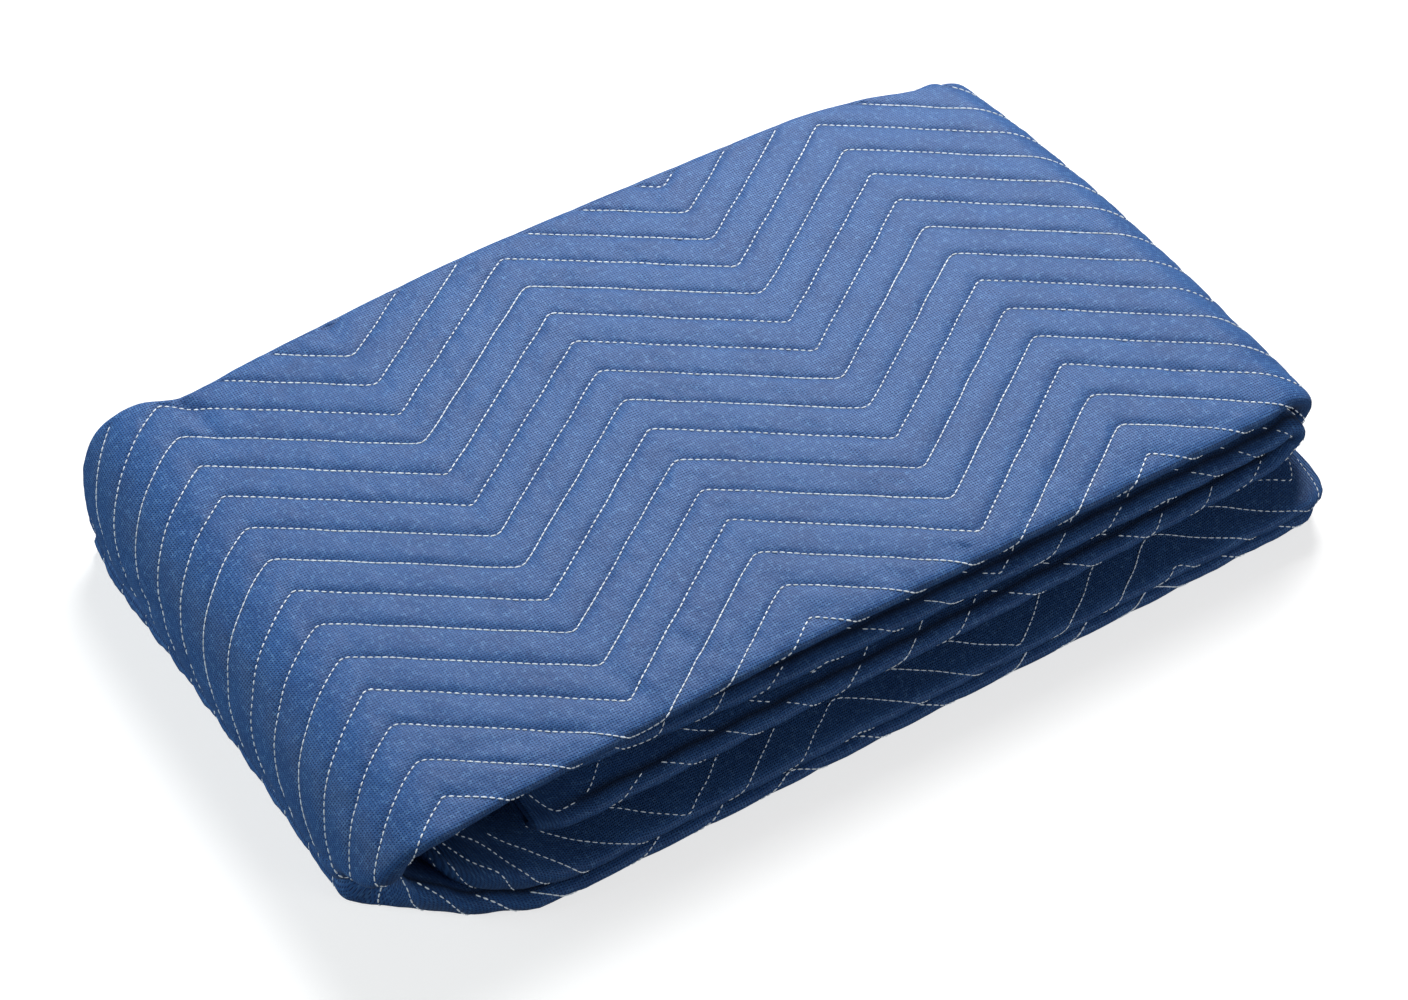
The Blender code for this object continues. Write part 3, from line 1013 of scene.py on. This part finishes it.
    def relief(self, place: Array, across: Array) -> Array:
        """Quilting relief, and the crease of the left end on the outermost face.

        Args:
            place: Distances along the run.
            across: Places across the cloth, a row for each place.

        Returns:
            The lift of each point.
        """
        lift = self.quilt.relief(self.along_of(place, across), across)
        from_turn = place - self.run.start["right turn"]
        taut = smooth_step(1 + from_turn / 0.020) * smooth_step((0.060 - from_turn) / 0.020)
        lift = lift * (1 - self.turn_flattening * taut[:, None])
        bounds = self.bounds_across(place)
        on_outer_panel = 1 - smooth_step((across - bounds[:, 1:2]) / 0.006)
        crease = self.buckle.crease(self.run, place, across) * on_outer_panel
        lift = np.minimum(lift, lift * 0.3 - crease) * (crease > 0) + lift * (crease <= 0)
        for dent in DENTS:
            ahead = place[:, None] - self.run.place_of(dent.stretch, dent.part)
            aside = across - dent.across
            turn = math.radians(dent.degrees)
            along_it = (ahead * math.cos(turn) + aside * math.sin(turn)) / dent.half_length
            over_it = (aside * math.cos(turn) - ahead * math.sin(turn)) / dent.half_width
            lift = lift - dent.depth * np.exp(-(along_it**2) - over_it**2)
        return lift

    def relief_share(self, place: Array, across: Array) -> Array:
        """Share of the relief that the outermost panel keeps, which falls towards its fold.

        Args:
            place: Distances along the run.
            across: Places across the cloth, a row for each place.

        Returns:
            The share, from 1 on the panel to the coarse share on the fold.
        """
        to_fold = (across - self.bounds_across(place)[:, 1:2]) / self.share_width
        return 1 - (1 - self.coarse_share) * smooth_step(1 + to_fold)

    def tuck(self, place: Array, across: Array) -> Array:
        """How far into the narrow gaps between the front folds the cloth lies: the mask of the shade painted
        into the cloth's colour there, which also keeps stitches out of the gaps.

        Args:
            place: Distances along the run.
            across: Places across the cloth, a row for each place.

        Returns:
            1 where two folds meet, and 0 away from there.
        """
        bounds = self.bounds_across(place)
        between_strips = smooth_step((place - self.run.start["top strip"]) / 0.05)
        held = between_strips * smooth_step((self.run.end - place) / 0.05)
        depth = np.zeros_like(across)
        for fold_end, strength in ((2, np.ones(len(place))), (5, np.ones(len(place))), (6, held)):
            away = (across - bounds[:, fold_end : fold_end + 1]) / self.tuck_width
            depth = np.maximum(depth, strength[:, None] * np.exp(-(away**2)))
        return depth

    def columns(self) -> tuple[Array, int, int]:
        """Places of the mesh's columns along the run.

        Returns:
            The places, and the numbers of the first and last column of the part from the low
            corner to the end of the right turn.
        """
        edge = np.array(HEM_ROWS)
        before, shown, after = (
            self.steps_over(table) for table in (FLOOR_STEPS, SHOWN_STEPS, MIDDLE_STEPS)
        )
        places = np.concatenate((edge, before, shown, after, self.run.end - edge[::-1]))
        first = len(edge) + len(before)
        return places, first, first + len(shown) - 1

    def steps_over(self, table: tuple[tuple[str, float, str, float, float], ...]) -> Array:
        """Places along the run at steps given for each part of it.

        Args:
            table: Rows of a stretch and part where the row starts, those where it ends, and
                its step.

        Returns:
            The places, rising, without the last row's end.
        """
        rows = []
        for start, start_part, end, end_part, step in table:
            low = self.run.place_of(start, start_part)
            high = self.run.place_of(end, end_part)
            count = max(1, round((high - low) / step))
            rows.append(low + (high - low) * np.arange(count) / count)
        return np.concatenate(rows)

    def coarse_rows(self, place: Array) -> tuple[Array, int, int]:
        """Places of the coarse rows across the cloth.

        Args:
            place: The columns' places.

        Returns:
            Places across for each column, and the numbers of the rows where the outermost
            panel's fine rows start and end.
        """
        bounds = self.bounds_across(place)
        panels = ((HEM_ROWS, OUTER_ROWS), (INNER_ROWS, BACK_ROWS), (BACK_ROWS, INNER_ROWS),
                  (INNER_ROWS, HEM_ROWS))
        parts = []
        for i in range(7):
            low, high = bounds[:, i : i + 1], bounds[:, i + 1 : i + 2]
            if i % 2:
                spans = BACK_FOLD_SPANS if i == 3 else FRONT_FOLD_SPANS
                parts.append(low + (high - low) * np.arange(1, spans) / spans)
                continue
            near, far = (np.array(rows) for rows in panels[i // 2])
            middle = np.array(MIDDLE_ROWS if i == 0 else MIDDLE_ROWS[1:2])
            parts += [low + near, low + (high - low) * middle, high - far[::-1]]
        rows = np.concatenate(parts, axis=1)
        return rows, len(HEM_ROWS) - 1, len(HEM_ROWS) + len(MIDDLE_ROWS) + len(OUTER_ROWS) - 1

    def thinning(self, place: Array, across: Array) -> Array:
        """Share of the thickness near the sheet's four edges, which are rounded.

        Args:
            place: Distances along the run.
            across: Places across the cloth, a row for each place.

        Returns:
            The share, 0 on an edge and 1 inside.
        """
        bounds, round_off = self.bounds_across(place), HEM_ROWS[-1]
        to_hem = np.minimum(across - bounds[:, :1], bounds[:, 7:] - across)
        to_end = np.minimum(place, self.run.end - place)[:, None]
        share = np.ones_like(across)
        for away in (to_hem, np.broadcast_to(to_end, across.shape)):
            inside = np.clip(1 - away / round_off, 0, 1)
            share = share * np.sqrt(np.maximum(0.0, 1 - inside**2))
        return share

    def fine_rows(
        self, place: Array, low: Array, high: Array, offsets: tuple[float, ...]
    ) -> Array:
        """Rows of the outermost panel that keep to the stitch lines.

        Args:
            place: The columns' places.
            low: Where the rows start across the cloth, at each place.
            high: Where they end.
            offsets: Places of the rows from one line to the next.

        Returns:
            Places across for each column, held between low and high.
        """
        quilt = self.quilt
        first = math.floor((low.min() - quilt.start_across - quilt.amplitude) / quilt.spacing)
        last = math.ceil((high.max() - quilt.start_across) / quilt.spacing)
        lines = np.array([n + part for n in range(first, last + 1) for part in offsets])
        along = self.along_of(place, low[:, None])
        shape = (len(place), len(lines))
        rows = quilt.across_of(np.broadcast_to(along, shape), np.broadcast_to(lines, shape))
        return np.clip(rows, low[:, None], high[:, None])

    def build(self) -> bpy.types.Object:
        """Makes the blanket's mesh.

        Returns:
            The blanket's object, dressed.
        """
        grid = SheetGrid()
        places, first, last = self.columns()
        rows, hem_row, front_row = self.coarse_rows(places)
        thin = self.thinning(places, rows)
        lift = self.relief(places, rows) * thin * self.coarse_share
        along = self.along_of(places, rows)
        numbers = {}
        for face in Face:
            points = self.surface(places, rows, face, lift, thin)
            numbers[face] = grid.add(points, along, rows, np.zeros_like(rows), self.tuck(places, rows))
        shown, under = numbers[Face.SHOWN], numbers[Face.UNDER]
        under[:, 0], under[:, -1] = shown[:, 0], shown[:, -1]
        under[0], under[-1] = shown[0], shown[-1]
        grid.quads(under, turned=True)
        grid.quads(shown[:, : hem_row + 1], turned=False)
        grid.quads(shown[:, front_row:], turned=False)
        panel, panel_rows = shown[:, hem_row : front_row + 1], rows[:, hem_row : front_row + 1]
        start = len(HEM_ROWS)
        base = self.fine_part(grid, places[start:first], panel[start:first],
                              panel_rows[start:first], self.base_offsets)
        fine = self.fine_part(grid, places[first : last + 1], panel[first : last + 1],
                              panel_rows[first : last + 1], self.row_offsets)
        grid.quads(panel[:start], turned=False)
        grid.zip_columns(panel[start - 1], base[0])
        grid.quads(base, turned=False)
        grid.zip_columns(base[-1], fine[0])
        grid.quads(fine, turned=False)
        grid.zip_columns(fine[-1], panel[last + 1])
        grid.quads(panel[last + 1 :], turned=False)
        blanket = grid.to_object(self.name)
        blanket.data.materials.append(self.finish.material())
        return blanket

    def fine_part(
        self, grid: "SheetGrid", place: Array, panel: Array, panel_rows: Array,
        offsets: tuple[float, ...],
    ) -> Array:
        """Adds the vertices of a part of the outermost panel, in rows along the stitch lines.

        Args:
            grid: Where they are added.
            place: The part's columns along the run.
            panel: The coarse vertices' numbers there, whose outer rows are kept.
            panel_rows: The coarse vertices' places across.
            offsets: Places of the rows from one line to the next.

        Returns:
            The vertices' numbers, a row for each column.
        """
        low, high = panel_rows[:, 0], panel_rows[:, -1]
        across = self.fine_rows(place, low, high, offsets)
        along = self.along_of(place, across)
        seam = np.exp(-self.quilt.distance(along, across) / self.seam_width)
        lift = self.relief(place, across) * self.relief_share(place, across)
        points = self.surface(place, across, Face.SHOWN, lift, np.ones_like(across))
        fine = grid.add(points, along, across, seam, np.zeros_like(across))
        for column in range(len(place)):
            fine[column, across[column] <= low[column]] = panel[column, 0]
            fine[column, across[column] >= high[column]] = panel[column, -1]
        return fine


class SheetGrid:
    """Gathers vertices and faces of the sheet, then makes a mesh of those in use."""

    def __init__(self) -> None:
        """Starts empty."""
        self.points: list[Array] = []
        self.cloth: list[Array] = []
        self.seam: list[Array] = []
        self.tuck: list[Array] = []
        self.faces: list[tuple[int, ...]] = []
        self.count = 0

    def add(self, points: Array, along: Array, across: Array, seam: Array, tuck: Array) -> Array:
        """Adds a grid of vertices.

        Args:
            points: Their places, x, y and z in the last axis.
            along: Distance along the cloth.
            across: Place across the cloth.
            seam: Closeness to a stitch line, the mask of the painted shade along the lines.
            tuck: How far into the gaps between the folds they lie, the mask of the painted shade there.

        Returns:
            The vertices' numbers, in the grid's shape.
        """
        size = across.size
        self.points.append(points.reshape(-1, 3))
        self.cloth.append(np.stack((along.reshape(-1), across.reshape(-1)), axis=1))
        self.seam.append(seam.reshape(-1))
        self.tuck.append(tuck.reshape(-1))
        numbers = np.arange(self.count, self.count + size).reshape(across.shape)
        self.count += size
        return numbers

    def face(self, corners: tuple[int, ...]) -> None:
        """Adds a face, leaving out corners that repeat."""
        kept = tuple(dict.fromkeys(int(c) for c in corners))
        if len(kept) > 2:
            self.faces.append(kept)

    def quads(self, numbers: Array, turned: bool) -> None:
        """Adds the faces of a grid.

        Args:
            numbers: The vertices' numbers, a row for each column of the sheet.
            turned: Whether the faces look the other way.
        """
        if len(numbers) < 2:
            return
        corners = (numbers[:-1, :-1], numbers[:-1, 1:], numbers[1:, 1:], numbers[1:, :-1])
        stack = np.stack([c.reshape(-1) for c in corners], axis=1)
        for row in stack[:, ::-1] if turned else stack:
            self.face(tuple(row))

    def zip_columns(self, first: Array, second: Array) -> None:
        """Adds triangles between two columns with different numbers of vertices.

        Args:
            first: Vertex numbers of one column.
            second: Those of the next.
        """
        first, second = list(dict.fromkeys(first.tolist())), list(dict.fromkeys(second.tolist()))
        places = np.concatenate(self.cloth)[:, 1]
        i, j = 0, 0
        while i < len(first) - 1 or j < len(second) - 1:
            if j == len(second) - 1 or (i < len(first) - 1 and places[first[i + 1]] <= places[second[j + 1]]):
                self.face((first[i], first[i + 1], second[j]))
                i += 1
            else:
                self.face((first[i], second[j + 1], second[j]))
                j += 1

    def to_object(self, name: str) -> bpy.types.Object:
        """Makes the object, with its cloth coordinates and the masks of its painted shade: seam closeness and
        tuck.

        Args:
            name: The object's name.

        Returns:
            The object, linked to the scene.
        """
        points, cloth = np.concatenate(self.points), np.concatenate(self.cloth)
        used = np.unique(np.concatenate([np.array(f) for f in self.faces]))
        renumber = np.full(self.count, -1)
        renumber[used] = np.arange(len(used))
        faces = [tuple(int(renumber[c]) for c in f) for f in self.faces]
        data = bpy.data.meshes.new(name)
        data.from_pydata(points[used].tolist(), [], faces)
        corners = np.zeros(len(data.loops), np.int32)
        data.loops.foreach_get("vertex_index", corners)
        layer = data.uv_layers.new(name="cloth")
        layer.uv.foreach_set("vector", cloth[used][corners].astype(np.float32).reshape(-1))
        for kind, parts in (("seam", self.seam), ("tuck", self.tuck)):
            attribute = data.attributes.new(kind, "FLOAT", "POINT")
            attribute.data.foreach_set("value", np.concatenate(parts)[used].astype(np.float32))
        data.validate()
        data.shade_smooth()
        made = bpy.data.objects.new(name, data)
        bpy.context.scene.collection.objects.link(made)
        return made


@dataclass(frozen=True)
class StitchSizes:
    """Pitch and size of one kind of stitch."""

    pitch: float
    length: float
    width: float


STITCHES = {
    StitchKind.SPACED: StitchSizes(pitch=0.0048, length=0.0039, width=0.00110),
    StitchKind.CLOSE: StitchSizes(pitch=0.0046, length=0.0043, width=0.00100),
}


def stitch_tree() -> bpy.types.NodeTree:
    """Geometry Nodes that set a stitch at every pitch along each line.

    Returns:
        The tree, with named inputs for the stitch's sizes, its seed and its material.
    """
    tree = bpy.data.node_groups.new("quilting_stitches", "GeometryNodeTree")
    tree.interface.new_socket("Geometry", in_out="OUTPUT", socket_type="NodeSocketGeometry")
    tree.interface.new_socket("Geometry", in_out="INPUT", socket_type="NodeSocketGeometry")
    for name in ("Pitch", "Length", "Width"):
        tree.interface.new_socket(name, in_out="INPUT", socket_type="NodeSocketFloat")
    tree.interface.new_socket("Seed", in_out="INPUT", socket_type="NodeSocketInt")
    tree.interface.new_socket("Thread", in_out="INPUT", socket_type="NodeSocketMaterial")
    nodes, link = tree.nodes, tree.links.new
    given = nodes.new("NodeGroupInput").outputs
    lines = nodes.new("GeometryNodeMeshToCurve")
    spaced = nodes.new("GeometryNodeResampleCurve")
    spaced.mode = "LENGTH"
    link(given["Geometry"], lines.inputs["Mesh"])
    link(lines.outputs["Curve"], spaced.inputs["Curve"])
    link(given["Pitch"], spaced.inputs["Length"])
    ball = nodes.new("GeometryNodeMeshUVSphere")
    ball.inputs["Segments"].default_value = 6
    ball.inputs["Rings"].default_value = 4
    ball.inputs["Radius"].default_value = 0.5
    size = nodes.new("ShaderNodeCombineXYZ")
    link(given["Width"], size.inputs["X"])
    link(given["Width"], size.inputs["Y"])
    link(given["Length"], size.inputs["Z"])
    stitch = nodes.new("GeometryNodeTransform")
    link(ball.outputs["Mesh"], stitch.inputs["Geometry"])
    link(size.outputs["Vector"], stitch.inputs["Scale"])
    tangent = nodes.new("GeometryNodeInputTangent")
    turn = nodes.new("FunctionNodeAlignRotationToVector")
    turn.axis = "Z"
    link(tangent.outputs["Tangent"], turn.inputs["Vector"])
    uneven = nodes.new("FunctionNodeRandomValue")
    uneven.data_type = "FLOAT_VECTOR"
    uneven.inputs[0].default_value = (0.86, 0.86, 0.88)
    uneven.inputs[1].default_value = (1.14, 1.14, 1.04)
    link(given["Seed"], uneven.inputs["Seed"])
    tension = nodes.new("ShaderNodeTexNoise")
    tension.inputs["Scale"].default_value = 11.0
    tension.inputs["Detail"].default_value = 1.0
    slack = nodes.new("ShaderNodeMapRange")
    link(tension.outputs["Fac"], slack.inputs["Value"])
    slack.inputs["From Min"].default_value = 0.35
    slack.inputs["From Max"].default_value = 0.65
    slack.inputs["To Min"].default_value = 0.80
    slack.inputs["To Max"].default_value = 1.16
    longer = nodes.new("ShaderNodeCombineXYZ")
    longer.inputs["X"].default_value = 1.0
    longer.inputs["Y"].default_value = 1.0
    link(slack.outputs["Result"], longer.inputs["Z"])
    both = nodes.new("ShaderNodeVectorMath")
    both.operation = "MULTIPLY"
    link(uneven.outputs[0], both.inputs[0])
    link(longer.outputs["Vector"], both.inputs[1])
    set_out = nodes.new("GeometryNodeInstanceOnPoints")
    link(spaced.outputs["Curve"], set_out.inputs["Points"])
    link(stitch.outputs["Geometry"], set_out.inputs["Instance"])
    link(turn.outputs["Rotation"], set_out.inputs["Rotation"])
    link(both.outputs["Vector"], set_out.inputs["Scale"])
    real = nodes.new("GeometryNodeRealizeInstances")
    link(set_out.outputs["Instances"], real.inputs["Geometry"])
    smooth = nodes.new("GeometryNodeSetShadeSmooth")
    link(real.outputs["Geometry"], smooth.inputs["Geometry"])
    dressed = nodes.new("GeometryNodeSetMaterial")
    link(smooth.outputs["Geometry"], dressed.inputs["Geometry"])
    link(given["Thread"], dressed.inputs["Material"])
    link(dressed.outputs["Geometry"], nodes.new("NodeGroupOutput").inputs["Geometry"])
    return tree


@dataclass
class Quilting:
    """The thread of the zigzag lines, wherever the cloth's faces show."""

    blanket: FoldedBlanket
    finish: ThreadFinish = field(default_factory=ThreadFinish)
    step: float = 0.0022
    edge_clearance: float = 0.006
    round_fold: float = 0.030
    thread_lift: float = 0.00032
    fold_lift: float = 0.00018
    fold_width: float = 0.74
    deepest: float = 0.55
    shortest: int = 5

    def lines(self, zones: list[tuple[float, float, Face, str]], kind: StitchKind) -> list[Array]:
        """Stitch lines of one kind over some zones of the cloth.

        Args:
            zones: Start and end along the run, the face, and which panel or fold.
            kind: The kind of stitch.

        Returns:
            One array of points for each unbroken line.
        """
        found = []
        for start, end, face, where in zones:
            place = np.linspace(start, end, max(3, int((end - start) / self.step)))
            low, high = self.limits(place, where)
            along = self.blanket.along_of(place, ((low + high) / 2)[:, None])
            quilt = self.blanket.quilt
            first = math.floor((low.min() - quilt.start_across - quilt.amplitude) / quilt.spacing) - 1
            last = math.ceil((high.max() - quilt.start_across) / quilt.spacing) + 1
            for number in range(first, last + 1):
                if quilt.kind_of(number) is not kind:
                    continue
                line = np.full_like(along, float(number))
                across = quilt.across_of(along, line)
                inside = (across[:, 0] > low) & (across[:, 0] < high)
                inside &= self.blanket.tuck(place, across)[:, 0] < self.deepest
                found += self.pieces_of(place, across, face, inside, where)
        return found

    def limits(self, place: Array, where: str) -> tuple[Array, Array]:
        """Where a zone starts and ends across the cloth.

        Args:
            place: Distances along the run.
            where: Which panel or fold: outer panel, outer fold, back fold or inner fold.

        Returns:
            The zone's two ends at each place.
        """
        bounds = self.blanket.bounds_across(place)
        if where == "outer panel":
            return bounds[:, 0] + self.edge_clearance, bounds[:, 2] + self.round_fold / 2
        first = {"outer fold": 1, "back fold": 3, "inner fold": 5}[where]
        return bounds[:, first] - self.round_fold, bounds[:, first + 1] + self.round_fold

    def pieces_of(
        self, place: Array, across: Array, face: Face, inside: Array, where: str
    ) -> list[Array]:
        """Unbroken runs of one line as points in space.

        Args:
            place: Distances along the run.
            across: The line's place across the cloth, as one column.
            face: The face it lies on.
            inside: Where the line shows.
            where: Which panel or fold.

        Returns:
            One array of points for each run.
        """
        blanket = self.blanket
        thin = blanket.thinning(place, across)
        share = np.full_like(across, blanket.coarse_share)
        if where == "outer panel":
            share = blanket.relief_share(place, across)
        lift = blanket.relief(place, across) * share + self.thread_lift + self.fold_lift * (1 - share)
        points = blanket.surface(place, across, face, lift, thin)[:, 0]
        edges = np.flatnonzero(np.diff(np.concatenate(([0], inside.astype(int), [0]))))
        return [points[a:b] for a, b in zip(edges[::2], edges[1::2]) if b - a > self.shortest]

    def sew(
        self, name: str, zones: list[tuple[float, float, Face, str]], kind: StitchKind,
        thinner: float,
    ) -> bpy.types.Object:
        """Makes the stitches of one kind over some zones.

        Args:
            name: The piece's name.
            zones: Start and end along the run, the face, and which panel or fold.
            kind: The kind of stitch.
            thinner: Share of the usual width.

        Returns:
            The stitches as one plain mesh object.
        """
        points, edges = [], []
        for line in self.lines(zones, kind):
            edges += [(len(points) + i, len(points) + i + 1) for i in range(len(line) - 1)]
            points += line.tolist()
        guide_data = bpy.data.meshes.new(name + "_guide")
        guide_data.from_pydata(points, edges, [])
        guide = bpy.data.objects.new(name + "_guide", guide_data)
        bpy.context.scene.collection.objects.link(guide)
        modifier = guide.modifiers.new("stitches", "NODES")
        tree = bpy.data.node_groups.get("quilting_stitches") or stitch_tree()
        thread = bpy.data.materials.get(self.finish.name) or self.finish.material()
        sizes = STITCHES[kind]
        values = {
            "Pitch": sizes.pitch, "Length": sizes.length, "Width": sizes.width * thinner,
            "Seed": 7, "Thread": thread,
        }
        modifier.node_group = tree
        for socket in tree.interface.items_tree:
            if socket.in_out == "INPUT" and socket.name in values:
                modifier[socket.identifier] = values[socket.name]
        graph = bpy.context.evaluated_depsgraph_get()
        data = bpy.data.meshes.new_from_object(guide.evaluated_get(graph))
        data.name = name
        guide.modifiers.remove(modifier)
        bpy.data.objects.remove(guide, do_unlink=True)
        made = bpy.data.objects.new(name, data)
        bpy.context.scene.collection.objects.link(made)
        return made


@dataclass
class Studio:
    """Plain pale floor, soft light and the camera at the photograph's angle."""

    camera_place: tuple[float, float, float] = (-0.9076, -1.4363, 1.856)
    pitch_degrees: float = 47.17
    yaw_degrees: float = 32.27
    focal_pixels: float = 3750.0
    frame_width: float = 1408.0
    sensor: float = 36.0
    floor_size: float = 12.0

    def build(self) -> bpy.types.Object:
        """Makes the floor, the lights and the camera.

        Returns:
            The floor.
        """
        scene = bpy.context.scene
        scene.view_settings.view_transform = "Standard"
        half = self.floor_size / 2
        data = bpy.data.meshes.new("floor")
        data.from_pydata(
            [(-half, -half, 0), (half, -half, 0), (half, half, 0), (-half, half, 0)], [], [(0, 1, 2, 3)]
        )
        data.materials.append(FloorFinish().material())
        floor = bpy.data.objects.new("floor", data)
        scene.collection.objects.link(floor)
        floor.location.z = -0.0002
        floor.visible_diffuse = False
        floor.visible_glossy = False
        world = bpy.data.worlds.new("studio")
        scene.world = world
        world.use_nodes = True
        backdrop = world.node_tree.nodes["Background"]
        backdrop.inputs["Color"].default_value = (0.86, 0.89, 0.95, 1.0)
        backdrop.inputs["Strength"].default_value = 0.085
        self.softbox("key", (1.15, 1.5, 1.95), 1.3, 108.0)
        self.softbox("left", (-1.95, 0.55, 0.65), 1.2, 20.0, (0.80, 0.95, 1.0))
        self.softbox("front", (0.9, -2.0, 0.8), 1.4, 13.0)
        lens = bpy.data.cameras.new("photo_camera")
        lens.sensor_width = self.sensor
        lens.lens = self.focal_pixels / self.frame_width * self.sensor
        camera = bpy.data.objects.new("photo_camera", lens)
        scene.collection.objects.link(camera)
        camera.location = self.camera_place
        camera.rotation_euler = (
            math.radians(90 - self.pitch_degrees), 0, math.radians(-self.yaw_degrees)
        )
        scene.camera = camera
        return floor

    def softbox(
        self, name: str, place: tuple[float, float, float], size: float, power: float,
        tint: tuple[float, float, float] = (1.0, 1.0, 1.0),
    ) -> None:
        """A square soft light that looks at the blanket.

        Args:
            name: The light's name.
            place: Where it stands.
            size: Its side in metres.
            power: Its power in watts.
            tint: Its colour.
        """
        data = bpy.data.lights.new(name, "AREA")
        data.color = tint
        data.size = size
        data.energy = power
        light = bpy.data.objects.new(name, data)
        bpy.context.scene.collection.objects.link(light)
        light.location = place
        light.rotation_euler = (-Vector(place)).to_track_quat("-Z", "Y").to_euler()


def main() -> None:
    """Builds the blanket, its stitching and the studio, and declares each piece."""
    logging.basicConfig(level=logging.INFO, format="%(message)s")
    floor = Studio().build()
    folded = FoldedBlanket()
    blanket = folded.build()
    run = folded.run
    outer_zones = [(run.start["low corner"] - 0.02, run.place_of("right turn", 0.9), Face.SHOWN, "outer panel")]
    fold_zones = [
        (0.006, run.start["low corner"] - 0.02, Face.SHOWN, "outer fold"),
        (run.place_of("right turn", 0.9), run.end - 0.006, Face.SHOWN, "outer fold"),
        (0.006, run.end - 0.006, Face.SHOWN, "inner fold"),
        (0.006, run.end - 0.006, Face.UNDER, "back fold"),
    ]
    under_zones = [(0.006, run.start["low corner"] - 0.02, Face.SHOWN, "outer panel")]
    quilting = Quilting(folded)
    stitches = []
    for part, zones in (("top", outer_zones), ("folds", fold_zones), ("base", under_zones)):
        for kind in StitchKind:
            thinner = quilting.fold_width if part == "folds" else 1.0
            stitches.append(quilting.sew(f"stitches_{part}_{kind.value}", zones, kind, thinner))
    for piece in (blanket, *stitches):
        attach(piece, "root")
        LOG.info("%s: %d faces", piece.name, len(piece.data.polygons))
    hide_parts("blanket")


if __name__ == "__main__":
    main()
